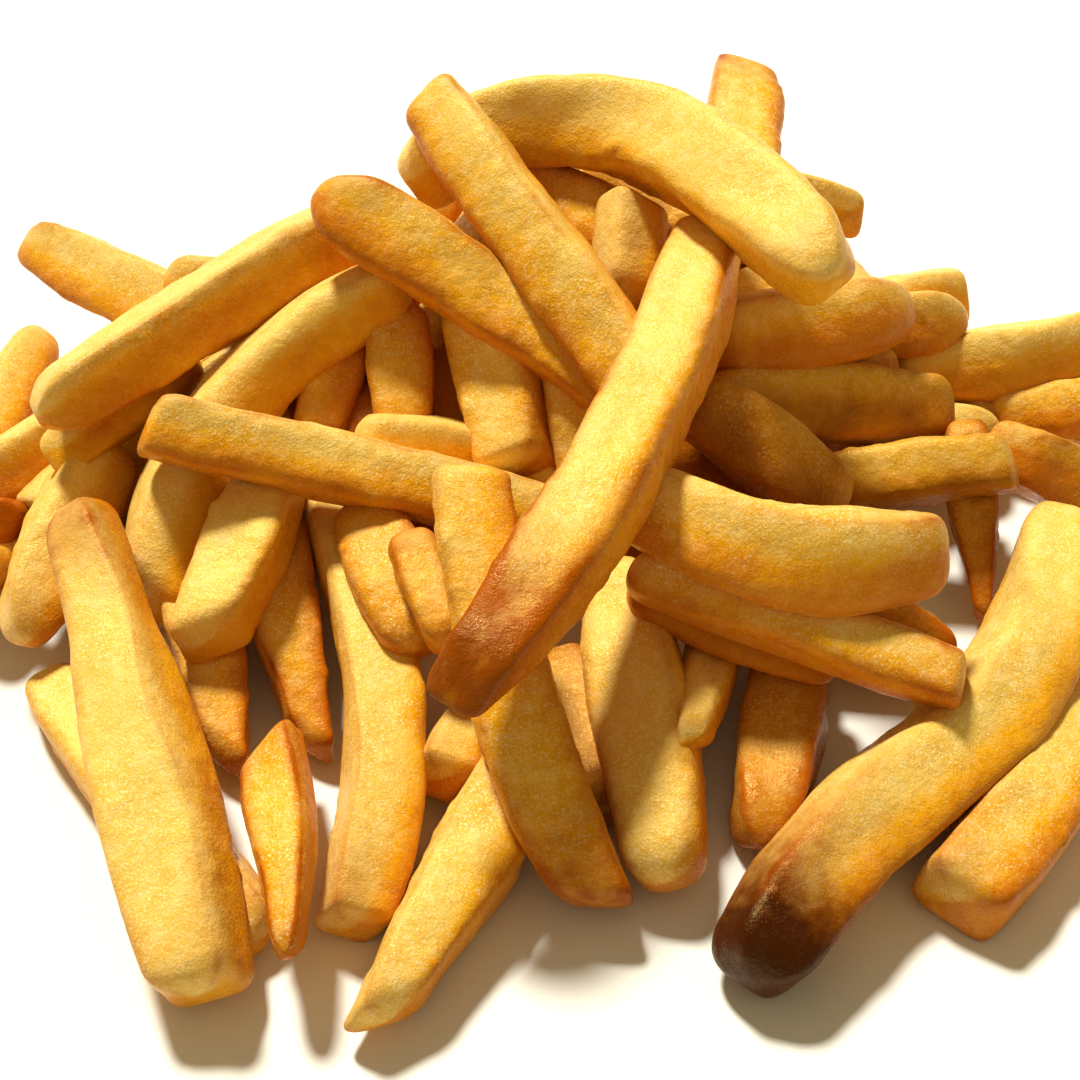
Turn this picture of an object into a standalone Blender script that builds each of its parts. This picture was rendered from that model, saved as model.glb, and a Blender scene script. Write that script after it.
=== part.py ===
"""A loose heap of thick-cut french fries lying on a table.

The heap is one solid: a low core with every fry that shows fused to it. Each
fry is a rounded bar carried along a gently bent centre line. Its place is given
on a sight plane in front of an eye that looks down on the heap, and its height
is a reading over the table that settling corrects until the fries lie on each
other. All sizes are millimetres until the meshes are made.
"""
import math
from dataclasses import dataclass

import bmesh
import bpy
import numpy as np

MM = 0.001

# The eye that sees the heap from the front, and the plane its sight is measured on
EYE = np.array([0.0, -175.0, 165.0])
SIGHT_PITCH = math.radians(45)
SIGHT_PLANE = 170.0
SIGHT_RIGHT = np.array([1.0, 0.0, 0.0])
SIGHT_UP = np.array([0.0, math.sin(SIGHT_PITCH), math.cos(SIGHT_PITCH)])
SIGHT_FORWARD = np.array([0.0, math.cos(SIGHT_PITCH), -math.sin(SIGHT_PITCH)])

# The mound of packed fries in the middle that carries the others
CORE_MIDDLE = (0.0, 8.0)
CORE_REACH = (48.0, 30.0)
CORE_HEIGHT = 24.0
CORE_SEGMENTS = 16
CORE_RINGS = 8

# Settling: how the fries are pushed apart where they would cross
STEPS = 15
PRESS = 0.86
FLOOR_PRESS = 0.4
TOUCH_REACH = 11.4
SETTLE_ROUNDS = 160
SETTLE_SHARE = 0.22
HOLD = 0.005
FALL = 0.16

# Fries that lie inside the heap, strewn over a mound
HIDDEN_SEED = 11
HIDDEN_FRIES = 26
HIDDEN_LENGTH = (46.0, 66.0)
HIDDEN_WIDTH = (8.6, 10.8)
HIDDEN_FLATTENING = (0.86, 0.98)
HIDDEN_ROLL = (0.0, 45.0)
HIDDEN_BOW = (-1.2, 1.2)
HIDDEN_OUT = (0.20, 0.85)
HIDDEN_OUT_POWER = 0.6
HIDDEN_BEARING = (-5.0, 185.0)
HIDDEN_TURN = (-60.0, 60.0)
HIDDEN_DEPTH = (4.0, 12.0)
HIDDEN_EDGE = 7.5
GOLDEN_SHARE = 0.618
MOUND_MIDDLE = (0.0, 14.0)
MOUND_REACH = (76.0, 66.0)
MOUND_HEIGHT = 40.0

# Fries dropped one by one behind the heap, where the eye doesn't reach
BACK_SEED = 4
BACK_FRIES = 30
BACK_TRIES = 3000
BACK_EDGE = 3.6
BACK_FRONT = 12.0
BACK_REACH = (72.0, 70.0)
BACK_NARROWING = 0.8
BACK_DEPTH = (0.25, 1.0)
BACK_STEEPEST = 0.85
BACK_SHOWN = 0.3
BACK_SINK = 4.0
BACK_SINK_SHARE = 1.8

# The middle of the heap's box, which becomes the origin
HEAP_MIDDLE = (0.62, -2.67)

# Cross sections, in half widths
SQUARE_CUT = 0.52
HEXAGON_CUT = 0.62
HEXAGON_HEIGHT = 0.96

# Bends that need a middle ring, two and three, on the sight plane
BENDS = (0.5, 1.0, 3.0)

# The block that cuts the feet flat, and the gap under which corners are welded
CUTTER_SIZE = 400.0
CUTTER_THICK = 60.0
WELD = 0.002

FRY_COLOUR = (0.83, 0.52, 0.16, 1.0)
FRY_ROUGHNESS = 0.55
SMOOTH_BELOW = math.radians(30)


@dataclass
class Fry:
    """One fry: its ends and bend on the sight plane, its thickness, roll and cut ends.

    An end is (across, up, height over the table). A bow and a sway are (across, up),
    how far the line bends at mid length and how far a full wave swings along it.
    """

    name: str
    start: tuple
    end: tuple
    width: float
    depth: float
    bow: tuple = (0.0, 0.0)
    roll: float = 0.0
    sway: tuple = (0.0, 0.0)
    cuts: tuple = ("round", "round")
    under: tuple = ()
    inside: bool = False


# The fries that show, from the lowest to the one on top
SHOWN = [
    Fry("right edge low", (44.5, 12.5, 6), (60.0, 13.6, 6), 9.5, 9.0),
    Fry("right edge long", (34.5, 16.4, 12), (60.0, 21.0, 8), 10.6, 9.6, bow=(0, -0.6)),
    Fry("right back stub", (34.0, 24.0, 20), (41.8, 24.4, 18), 8.2, 8.6, cuts=("round", "square")),
    Fry("right back round", (31.0, 21.2, 28), (42.8, 22.2, 24), 11.0, 9.8, cuts=("round", "oval")),
    Fry("left back", (-51.2, 30.0, 10), (-31.0, 20.0, 16), 9.6, 8.8, cuts=("oval", "round")),
    Fry("left back inner", (-37.5, 26.0, 12), (-24.0, 24.0, 14), 8.8, 8.6),
    Fry("left edge upper", (-49.6, 20.6, 18), (-59.4, 2.8, 8), 9.4, 9.0, cuts=("oval", "round")),
    Fry("left edge long", (-46.0, 11.6, 12), (-60.0, 2.2, 6), 9.4, 9.0),
    Fry("left edge brown", (-58.5, 2.0, 6), (-51.3, 2.0, 5), 7.4, 7.0),
    Fry("left edge olive", (-58.0, -5.0, 5), (-52.6, -1.8, 5), 7.4, 7.0),
    Fry("wedge behind arch", (23.0, 35.0, 34), (31.2, 32.8, 32), 9.4, 8.4, cuts=("round", "wedge")),
    Fry("spike", (20.8, 46.8, 40), (19.8, 29.0, 34), 11.2, 9.2, cuts=("chamfer left", "round")),
    Fry("shaded under arch", (-4.0, 37.2, 38), (16.0, 26.0, 32), 10.6, 10.2, roll=8),
    Fry("stub under arch", (9.2, 34.0, 42), (8.4, 23.0, 32), 9.2, 9.0, roll=28, cuts=("square", "round")),
    Fry("right shaded band", (18.0, 14.6, 24), (35.6, 17.4, 22), 9.0, 8.6),
    Fry("right big round", (15.0, 19.6, 36), (37.2, 23.4, 36), 13.4, 12.0, bow=(0, -0.4),
        cuts=("round", "oval")),
    Fry("right pale patch", (36.0, 11.4, 16), (46.0, 10.6, 14), 8.6, 8.2),
    Fry("right olive", (15.0, 13.4, 30), (41.2, 13.0, 28), 10.4, 9.6, bow=(0, 0.5), roll=12),
    Fry("right thin point", (42.6, 12.0, 20), (44.5, -7.8, 6), 7.0, 6.4, cuts=("round", "spear")),
    Fry("right edge orange", (46.6, 9.4, 14), (58.5, 3.4, 9), 9.8, 9.2, roll=10, cuts=("wedge", "square")),
    Fry("right grey", (24.0, 5.2, 22), (47.4, 7.8, 22), 8.2, 7.4, roll=8, cuts=("round", "square")),
    Fry("right dark slope", (14.0, 15.0, 32), (30.5, 3.2, 24), 10.4, 9.6, roll=10),
    Fry("left leg olive", (-49.4, -13.4, 5), (-27.4, -39.6, 5), 8.6, 7.4, bow=(-0.8, -0.8)),
    Fry("left leg back", (-42.4, 9.6, 18), (-51.2, -10.4, 7), 10.2, 9.4, bow=(-1.2, 0.3), roll=12,
        cuts=("round", "oval")),
    Fry("left crook", (-47.8, 9.2, 20), (-35.0, 18.4, 22), 8.8, 8.6, roll=20, cuts=("wedge", "round")),
    Fry("left inner long", (-9.0, 26.0, 30), (-31.0, 16.0, 18), 9.2, 9.0, roll=15),
    Fry("inner brown left", (-19.5, 21.4, 22), (-22.6, 8.6, 14), 9.0, 9.0),
    Fry("inner brown right", (-14.2, 23.6, 26), (-13.4, 9.6, 16), 9.0, 9.0),
    Fry("shaded amber", (-32.0, 6.0, 16), (-35.6, -7.4, 10), 8.4, 8.0),
    Fry("amber point left", (-35.2, 4.0, 18), (-32.0, -22.4, 5), 9.2, 8.2, cuts=("round", "slant right")),
    Fry("amber point right", (-26.2, 5.0, 18), (-23.4, -20.8, 5), 8.2, 7.8, bow=(-0.8, 0),
        cuts=("round", "slant right")),
    Fry("bowed pale leg", (-21.6, 4.6, 22), (-19.0, -38.8, 6), 8.8, 8.4, bow=(4.6, 0), roll=16,
        cuts=("round", "square")),
    Fry("wide shaded", (-17.6, 3.6, 18), (-12.2, -11.2, 8), 9.8, 9.2),
    Fry("long pale left", (-13.0, 26.0, 30), (-39.4, -6.2, 12), 10.2, 9.6, bow=(-4.3, 3.6), roll=18,
        cuts=("round", "chamfer right")),
    Fry("blunt pale", (-25.8, 8.0, 24), (-33.0, -10.2, 14), 9.6, 9.0, roll=-30,
        cuts=("round", "chamfer left")),
    Fry("left leg big", (-46.6, 3.8, 24), (-33.8, -45.6, 6.5), 11.8, 10.4, bow=(0.4, 0), roll=-23,
        cuts=("neck", "blunt")),
    Fry("short orange", (-27.2, -20.8, 5), (-25.4, -41.4, 5), 9.6, 8.2, bow=(0.7, 0), roll=-14,
        cuts=("chamfer right", "leaf")),
    Fry("centre chip", (-4.0, 8.6, 22), (2.4, 4.6, 20), 6.4, 6.2),
    Fry("centre pale rough", (-18.5, 10.0, 22), (-4.6, 8.2, 22), 8.8, 8.2),
    Fry("centre back pale", (2.6, 21.0, 32), (5.0, 4.6, 26), 9.6, 9.2),
    Fry("centre blunt", (-7.0, 24.6, 36), (-2.4, 6.8, 28), 10.6, 9.8, bow=(0.6, 0), roll=-18,
        cuts=("round", "square")),
    Fry("left back long", (-50.2, 12.2, 26), (-14.0, 33.6, 46), 9.4, 9.0, bow=(0, 0.9), roll=-14,
        cuts=("oval", "round")),
    Fry("front long flat", (-39.4, 11.6, 28), (3.4, 1.6, 36), 8.2, 8.0, roll=16, cuts=("square", "round")),
    Fry("bottom dark sliver", (2.0, -11.0, 13), (6.8, -27.4, 5), 8.2, 7.6),
    Fry("bottom three-faced", (7.4, -2.4, 26), (12.8, -34.4, 6), 10.6, 9.8, bow=(0.6, 0.2), roll=-14),
    Fry("bottom stub", (-3.4, -14.0, 12), (-9.8, -24.0, 7), 8.0, 7.8, cuts=("round", "square")),
    Fry("bottom olive taper", (-0.6, -20.0, 13), (-14.8, -48.0, 5), 10.4, 9.2, bow=(0.2, 0.4),
        cuts=("round", "slant left")),
    Fry("small shaded", (-13.2, 0.8, 22), (-8.6, -10.6, 15), 7.2, 7.0),
    Fry("long amber front", (-6.6, 7.2, 43), (5.6, -36.6, 6), 9.8, 9.0, bow=(-2.8, 0),
        cuts=("square", "chamfer right")),
    Fry("lit chip right", (17.6, -8.4, 14), (16.2, -19.6, 7), 7.4, 7.2, cuts=("round", "slant left")),
    Fry("dark finger", (25.4, -8.6, 18), (22.0, -30.6, 6), 10.4, 9.6, bow=(0.4, 0), cuts=("round", "oval")),
    Fry("dark right corner", (23.0, -1.6, 20), (41.2, -12.0, 12), 8.8, 8.4),
    Fry("right under", (9.0, -4.6, 20), (30.0, -12.6, 18), 8.0, 7.6),
    Fry("right low end", (57.0, -15.0, 9), (41.6, -36.4, 6), 10.6, 9.4, bow=(0.6, 0),
        cuts=("round", "square")),
    Fry("burnt leg", (51.8, 3.2, 22), (21.0, -44.2, 6.5), 11.6, 10.8, bow=(3.1, -2.0), roll=14,
        sway=(2.4, -1.5), cuts=("oval", "round")),
    Fry("right blunt", (9.0, -2.8, 26), (42.4, -14.4, 26), 8.0, 7.6, roll=20, cuts=("round", "square")),
    Fry("right golden bowed", (9.0, 5.2, 34), (40.4, -0.8, 36), 11.6, 10.4, bow=(0, -3.6), roll=-10,
        cuts=("round", "blunt")),
    Fry("arch", (-12.8, 36.0, 46), (29.4, 26.0, 56), 12.2, 11.2, bow=(-0.6, 10.2), roll=10,
        cuts=("round", "oval")),
    Fry("tapered top", (-22.6, 34.8, 48), (6.6, 13.2, 40), 12.0, 10.4, bow=(1.2, 1.0), roll=14,
        cuts=("oval", "leaf")),
    Fry("khaki top", (-11.4, 44.6, 60), (11.8, 13.2, 46), 10.0, 9.4, roll=-12, cuts=("blunt", "round")),
    Fry("crusty front", (17.4, 31.4, 48), (-8.2, -14.4, 38), 9.8, 9.2, bow=(3.0, -1.4), roll=-24,
        cuts=("round", "wedge"), under=("arch",)),
]

# How far up the sight plane the heap reaches, at places across it
SKYLINE_ACROSS = (-60.0, -52.0, -36.0, -22.0, -10.0, 8.0, 22.0, 32.0, 42.0, 60.0)
SKYLINE_UP = (19.0, 27.0, 26.0, 33.0, 41.0, 45.0, 41.0, 31.0, 24.0, 22.0)

# Each cut end as rings: how far in from the tip in half widths, the share of width and
# depth there, and how far the ring stands to one side in half widths
CUT_RINGS = {
    "round": ((0.0, 0.50, 0.50, 0.0), (0.42, 0.90, 0.90, 0.0)),
    "oval": ((0.0, 0.36, 0.36, 0.0), (0.60, 0.82, 0.82, 0.0)),
    "blunt": ((0.0, 0.64, 0.64, 0.0), (0.40, 0.95, 0.95, 0.0)),
    "square": ((0.0, 0.84, 0.82, 0.0), (0.30, 1.0, 1.0, 0.0)),
    "wedge": ((0.0, 0.60, 0.34, 0.0), (1.10, 0.94, 0.92, 0.0)),
    "spear": ((0.0, 0.34, 0.30, 0.0), (1.80, 0.90, 0.88, 0.0)),
    "leaf": ((0.0, 0.36, 0.40, 0.0), (1.20, 0.66, 0.72, 0.0), (3.2, 0.94, 0.96, 0.0)),
    "neck": ((0.0, 0.48, 0.48, 0.0), (0.42, 0.84, 0.84, 0.0), (2.6, 1.0, 1.0, 0.0)),
    "slant left": ((0.0, 0.34, 0.50, 0.44), (1.30, 0.90, 0.90, 0.05)),
    "slant right": ((0.0, 0.34, 0.50, -0.44), (1.30, 0.90, 0.90, -0.05)),
    "chamfer left": ((0.0, 0.62, 0.66, 0.24), (0.80, 0.97, 0.96, 0.0)),
    "chamfer right": ((0.0, 0.62, 0.66, -0.24), (0.80, 0.97, 0.96, 0.0)),
}


def between(limits, share):
    """The value a share of the way from the first limit to the second."""
    return limits[0] + (limits[1] - limits[0]) * share


def mound_top(x, y):
    """The height of the strewn mound over a place of the table: a half ellipsoid."""
    across = (x - MOUND_MIDDLE[0]) / MOUND_REACH[0]
    along = (y - MOUND_MIDDLE[1]) / MOUND_REACH[1]
    return MOUND_HEIGHT * math.sqrt(max(1 - across * across - along * along, 0.0))


def seen(point):
    """Where a point of the room shows on the sight plane, across and up."""
    away = np.asarray(point, float) - EYE
    return SIGHT_PLANE * np.array([away @ SIGHT_RIGHT, away @ SIGHT_UP]) / (away @ SIGHT_FORWARD)


def over_skyline(plane, edge):
    """How far points of the sight plane, with an edge around them, stand over the heap's skyline."""
    return (plane[:, 1] + edge - np.interp(plane[:, 0], SKYLINE_ACROSS, SKYLINE_UP)).max()


def hidden_fries():
    """Fries strewn over the back and sides of the mound by a seeded rule, kept below its skyline."""
    draw = np.random.default_rng(HIDDEN_SEED)
    fries = []
    for n in range(HIDDEN_FRIES):
        ring = ((n + 0.5) / HIDDEN_FRIES) ** HIDDEN_OUT_POWER
        out = between(HIDDEN_OUT, ring)
        bearing = math.radians(between(HIDDEN_BEARING, (n * GOLDEN_SHARE) % 1.0))
        x = MOUND_MIDDLE[0] + MOUND_REACH[0] * out * math.cos(bearing)
        y = MOUND_MIDDLE[1] + MOUND_REACH[1] * out * math.sin(bearing)
        heading = bearing + math.radians(90 + draw.uniform(*HIDDEN_TURN))
        half = 0.5 * draw.uniform(*HIDDEN_LENGTH)
        width = draw.uniform(*HIDDEN_WIDTH)
        ends = []
        for side in (-1, 1):
            end_x = x + side * half * math.cos(heading)
            end_y = y + side * half * math.sin(heading)
            height = max(mound_top(end_x, end_y) - draw.uniform(*HIDDEN_DEPTH), 0.5 * width)
            ends.append([*seen((end_x, end_y, height)), height])
        along = np.linspace(ends[0][:2], ends[1][:2], STEPS)
        over = over_skyline(along, HIDDEN_EDGE)
        for end in ends:
            end[1] -= max(over, 0.0)
        fries.append(
            Fry(
                f"hidden {n + 1}",
                tuple(ends[0]),
                tuple(ends[1]),
                width,
                width * draw.uniform(*HIDDEN_FLATTENING),
                bow=(0.0, draw.uniform(*HIDDEN_BOW)),
                roll=draw.uniform(*HIDDEN_ROLL),
                cuts=("round", "square"),
                inside=True,
            )
        )
    return sorted(fries, key=lambda fry: fry.start[2] + fry.end[2])


def sight_line(fry, steps):
    """Points of the sight plane along a fry: a straight run plus a parabola and one sine wave."""
    t = np.linspace(0.0, 1.0, steps)[:, None]
    start, end = np.array(fry.start[:2]), np.array(fry.end[:2])
    bend = np.array(fry.bow) * (4 * t * (1 - t)) + np.array(fry.sway) * np.sin(2 * math.pi * t)
    return t[:, 0], start + (end - start) * t + bend


def rays(plane):
    """The rays from the eye through points of the sight plane."""
    return plane[:, :1] * SIGHT_RIGHT + plane[:, 1:] * SIGHT_UP + SIGHT_PLANE * SIGHT_FORWARD


def at_height(plane, height):
    """Where rays through points of the sight plane come down to a height over the table."""
    ray = rays(plane)
    return EYE + ray * ((height - EYE[2]) / ray[:, 2])[:, None]


def core_top(point):
    """The core's height over places of the table: a half ellipsoid, with the floor beyond it."""
    x = (point[:, 0] - CORE_MIDDLE[0]) / CORE_REACH[0]
    y = (point[:, 1] - CORE_MIDDLE[1]) / CORE_REACH[1]
    return CORE_HEIGHT * np.sqrt(np.clip(1 - x * x - y * y, 0, None))


def settle(fries):
    """The end heights of all fries once they are pushed apart.

    Along every line of sight a later fry lies nearer to the eye than an earlier
    one, by as much as both are thick there, unless it is named as lying under
    that one, which turns the two round. Each round moves every fry's ends
    by a share of what is missing, later ones up and earlier ones down, and lets
    every fry fall a little, but none below the table or into the core.
    """
    count = len(fries)
    t = np.linspace(0.0, 1.0, STEPS)
    plane = np.array([sight_line(fry, STEPS)[1] for fry in fries])
    reach = np.array([0.25 * (fry.width + fry.depth) for fry in fries])
    wanted = np.array([(fry.start[2], fry.end[2]) for fry in fries], float)
    ends = np.maximum(wanted, (reach - FLOOR_PRESS)[:, None])
    drop = -rays(plane.reshape(-1, 2))[:, 2].reshape(count, STEPS)
    flat = plane.reshape(-1, 2)
    owner = np.repeat(np.arange(count), STEPS)
    near = np.linalg.norm(flat[:, None] - flat[None], axis=2)
    front, back = np.nonzero((near < TOUCH_REACH) & (owner[:, None] > owner[None]))
    names = [fry.name for fry in fries]
    under = {(n, names.index(other)) for n, fry in enumerate(fries) for other in fry.under}
    turned = np.array([(a, b) in under for a, b in zip(owner[front], owner[back])])
    front, back = np.where(turned, back, front), np.where(turned, front, back)
    near = near[front, back]
    apart = PRESS * (reach[owner[front]] + reach[owner[back]])
    for _ in range(SETTLE_ROUNDS):
        height = ends[:, :1] + (ends[:, 1:] - ends[:, :1]) * t
        scale = ((EYE[2] - height) / drop).reshape(-1)
        gap = near * scale[back]
        between_them = (scale[back] - scale[front]) * SIGHT_PLANE
        missing = np.sqrt(np.clip(apart**2 - gap**2, 0, None)) - between_them
        missing = np.where(gap < apart, np.clip(missing, 0, None), 0)
        up, down = np.zeros(count * STEPS), np.zeros(count * STEPS)
        np.maximum.at(up, front, missing)
        np.maximum.at(down, back, missing)
        up, down = (push.reshape(count, STEPS) * drop / SIGHT_PLANE for push in (up, down))
        place = at_height(flat, height.reshape(-1))
        into_core = core_top(place).reshape(count, STEPS) + PRESS * reach[:, None] - height
        up = np.maximum(up, into_core)
        for side, weight in ((0, 1 - t), (1, t)):
            push = (up * weight).max(axis=1) - (down * weight).max(axis=1)
            ends[:, side] += SETTLE_SHARE * push + HOLD * (wanted[:, side] - ends[:, side]) - FALL
        ends = np.maximum(ends, (reach - FLOOR_PRESS)[:, None])
    return ends


def rest_on(t, need):
    """The end heights of the straight line over points (t, need) that is lowest at mid length."""
    low, high = t < 0.5, t >= 0.5
    t1, t2 = t[low][:, None], t[high][None, :]
    n1, n2 = need[low][:, None], need[high][None, :]
    slope = (n2 - n1) / (t2 - t1)
    at_middle = n1 + slope * (0.5 - t1)
    i, j = np.unravel_index(np.argmax(at_middle), at_middle.shape)
    start = n1[i, 0] - slope[i, j] * t1[i, 0]
    return start, start + slope[i, j]


def back_fries(fries, ends):
    """Fries dropped behind the heap: each rests on two supports, one each side of its middle.

    Places are drawn by a seeded rule. A fry that would show over the skyline is
    pressed down a little, and a place is passed over where that isn't enough or
    the fry would stand too steep.
    """
    draw = np.random.default_rng(BACK_SEED)
    t = np.linspace(0.0, 1.0, STEPS)
    points = np.vstack([centre_line(fry, end, STEPS) for fry, end in zip(fries, ends)])
    reaches = np.repeat([0.25 * (fry.width + fry.depth) for fry in fries], STEPS)
    added, added_ends = [], []
    for _ in range(BACK_TRIES):
        side = draw.uniform(-1, 1)
        x = BACK_REACH[0] * side
        y = BACK_REACH[1] * (1 - BACK_NARROWING * abs(side)) * draw.uniform(*BACK_DEPTH)
        heading = draw.uniform(0, math.pi)
        length, width = draw.uniform(*HIDDEN_LENGTH), draw.uniform(*HIDDEN_WIDTH)
        depth, roll = width * draw.uniform(*HIDDEN_FLATTENING), draw.uniform(*HIDDEN_ROLL)
        reach = 0.25 * (width + depth)
        along = (math.cos(heading), math.sin(heading), 0.0)
        plan = np.array([x, y, 0.0]) + length * (t - 0.5)[:, None] * along
        need = np.maximum(reach - FLOOR_PRESS, core_top(plan) + PRESS * reach)
        gap = np.linalg.norm(plan[:, None, :2] - points[None, :, :2], axis=2)
        apart = PRESS * (reach + reaches)
        over = points[:, 2] + np.sqrt(np.clip(apart**2 - gap**2, 0, None))
        need = np.maximum(need, np.where(gap < apart, over, 0).max(axis=1))
        start, end = rest_on(t, need)
        plan[:, 2] = start + (end - start) * t
        over = over_skyline(np.array([seen(point) for point in plan]), BACK_EDGE)
        sink = BACK_SINK_SHARE * max(over, 0.0)
        lowest = reach - FLOOR_PRESS
        start, end = max(start - sink, lowest), max(end - sink, lowest)
        plan[:, 2] = start + (end - start) * t
        sight = np.array([seen(point) for point in plan])
        shows = over_skyline(sight, BACK_EDGE) > BACK_SHOWN or plan[:, 1].min() < BACK_FRONT
        if shows or sink > BACK_SINK or abs(end - start) > BACK_STEEPEST * length:
            continue
        fry = Fry(
            f"behind {len(added) + 1}",
            (*sight[0], start),
            (*sight[-1], end),
            width,
            depth,
            roll=roll,
            cuts=("round", "square"),
            inside=True,
        )
        added.append(fry)
        added_ends.append((start, end))
        points = np.vstack([points, plan])
        reaches = np.append(reaches, np.full(STEPS, reach))
        if len(added) == BACK_FRIES:
            break
    return fries + added, np.vstack([ends, added_ends])


def centre_line(fry, ends, steps):
    """The fry's centre line in the room, its points spread evenly from end to end."""
    t, plane = sight_line(fry, steps)
    return at_height(plane, ends[0] + (ends[1] - ends[0]) * t)


def ring_places(fry, length):
    """Where the rings of a fry stand along it and how large they are, from tip to tip."""
    half = 0.5 * fry.width
    first = [(d * half / length, w, k, s) for d, w, k, s in CUT_RINGS[fry.cuts[0]]]
    last = [(1 - d * half / length, w, k, s) for d, w, k, s in reversed(CUT_RINGS[fry.cuts[1]])]
    bent = sum(abs(reach) for reach in (*fry.bow, *fry.sway))
    count = sum(bent > limit for limit in BENDS)
    middle = [((n + 1) / (count + 1), 1.0, 1.0, 0.0) for n in range(count)]
    return first + middle + last


def fry_rings(fry, ends):
    """The corners of every ring of a fry, each ring square to the centre line."""
    fine = centre_line(fry, ends, STEPS)
    run = np.concatenate([[0], np.cumsum(np.linalg.norm(np.diff(fine, axis=0), axis=1))])
    places = ring_places(fry, run[-1])
    share = np.array([p[0] for p in places]) * run[-1]
    middle = np.stack([np.interp(share, run, fine[:, k]) for k in range(3)], axis=1)
    ahead = np.gradient(fine, run, axis=0)
    ahead = np.stack([np.interp(share, run, ahead[:, k]) for k in range(3)], axis=1)
    ahead /= np.linalg.norm(ahead, axis=1)[:, None]
    to_eye = EYE - fine[STEPS // 2]
    side = np.cross(ahead, to_eye)
    side /= np.linalg.norm(side, axis=1)[:, None]
    face = np.cross(side, ahead)
    turn = math.radians(fry.roll)
    across = side * math.cos(turn) + face * math.sin(turn)
    out = face * math.cos(turn) - side * math.sin(turn)
    wide = 0.5 * fry.width * np.array([p[1] for p in places])[:, None, None]
    deep = 0.5 * fry.depth * np.array([p[2] for p in places])[:, None, None]
    corners = hexagon() if fry.inside else octagon()
    aside = 0.5 * fry.width * np.array([p[3] for p in places])[:, None, None]
    sideways = (wide * corners[None, :, :1] + aside) * across[:, None]
    outwards = deep * corners[None, :, 1:] * out[:, None]
    return middle[:, None] + sideways + outwards


def octagon():
    """A square of half side 1 with its corners cut off, seen along the fry."""
    c = SQUARE_CUT
    return np.array([(1, -c), (1, c), (c, 1), (-c, 1), (-1, c), (-1, -c), (-c, -1), (c, -1)])


def hexagon():
    """A squat hexagon of half width 1, for fries that barely show."""
    c, h = HEXAGON_CUT, HEXAGON_HEIGHT
    return np.array([(1, 0), (c, h), (-c, h), (-1, 0), (-c, -h), (c, -h)])


def fry_object(fry, ends, collection):
    """A fry as a closed mesh: its rings bridged one to the next and capped at both tips."""
    rings = fry_rings(fry, ends)
    shape = bmesh.new()
    corners = [[shape.verts.new(p) for p in ring * MM] for ring in rings]
    shape.faces.new(corners[0])
    shape.faces.new(corners[-1])
    for one, two in zip(corners, corners[1:]):
        for k in range(len(one)):
            after = (k + 1) % len(one)
            shape.faces.new((one[k], one[after], two[after], two[k]))
    bmesh.ops.triangulate(shape, faces=shape.faces[:])
    bmesh.ops.recalc_face_normals(shape, faces=shape.faces[:])
    return mesh_object(fry.name, shape, collection)


def mesh_object(name, shape, collection):
    """An object that holds a finished bmesh."""
    mesh = bpy.data.meshes.new(name)
    shape.to_mesh(mesh)
    shape.free()
    made = bpy.data.objects.new(name, mesh)
    collection.objects.link(made)
    return made


def core_object(name, collection):
    """The core: a sphere stretched to the mound's reach, of which the upper half lies above the table."""
    shape = bmesh.new()
    bmesh.ops.create_uvsphere(shape, u_segments=CORE_SEGMENTS, v_segments=CORE_RINGS, radius=1.0)
    for vert in shape.verts:
        vert.co.x = (CORE_MIDDLE[0] + vert.co.x * CORE_REACH[0]) * MM
        vert.co.y = (CORE_MIDDLE[1] + vert.co.y * CORE_REACH[1]) * MM
        vert.co.z = vert.co.z * CORE_HEIGHT * MM
    return mesh_object(name, shape, collection)


def floor_cutter(collection):
    """A block under the table's level, which cuts every foot of the heap flat."""
    shape = bmesh.new()
    bmesh.ops.create_cube(shape, size=1.0)
    for vert in shape.verts:
        vert.co.x *= CUTTER_SIZE * MM
        vert.co.y *= CUTTER_SIZE * MM
        vert.co.z = (vert.co.z - 0.5) * CUTTER_THICK * MM
    cutter = mesh_object("table level", shape, collection)
    cutter.hide_render = True
    cutter.display_type = "WIRE"
    return cutter


def apply_modifiers(made):
    """Replace an object's mesh by what its modifiers make of it."""
    graph = bpy.context.evaluated_depsgraph_get()
    mesh = bpy.data.meshes.new_from_object(made.evaluated_get(graph))
    made.modifiers.clear()
    made.data = mesh


def islands(shape):
    """The separate shells of a bmesh, each a list of faces."""
    left, found = set(shape.faces), []
    while left:
        first = left.pop()
        shell, edge_faces = [first], [first]
        while edge_faces:
            face = edge_faces.pop()
            for edge in face.edges:
                for other in edge.link_faces:
                    if other in left:
                        left.remove(other)
                        shell.append(other)
                        edge_faces.append(other)
        found.append(shell)
    return found


def keep_main_shell(made):
    """Drop sealed hollows and loose scraps, so that one closed solid is left."""
    shape = bmesh.new()
    shape.from_mesh(made.data)
    bmesh.ops.remove_doubles(shape, verts=shape.verts[:], dist=WELD * MM)
    bmesh.ops.dissolve_degenerate(shape, edges=shape.edges[:], dist=WELD * MM)
    bmesh.ops.triangulate(shape, faces=shape.faces[:])
    shells = sorted(islands(shape), key=len)
    bmesh.ops.delete(shape, geom=[f for shell in shells[:-1] for f in shell], context="FACES")
    loose = [v for v in shape.verts if not v.link_faces]
    bmesh.ops.delete(shape, geom=loose, context="VERTS")
    for vert in shape.verts:
        vert.co.x -= HEAP_MIDDLE[0] * MM
        vert.co.y -= HEAP_MIDDLE[1] * MM
    shape.to_mesh(made.data)
    shape.free()
    made.data.update()


def fry_material():
    """Golden fried potato."""
    material = bpy.data.materials.new("fried potato")
    material.use_nodes = True
    shader = material.node_tree.nodes["Principled BSDF"]
    shader.inputs["Base Color"].default_value = FRY_COLOUR
    shader.inputs["Roughness"].default_value = FRY_ROUGHNESS
    shader.inputs["Metallic"].default_value = 0.0
    return material


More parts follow.
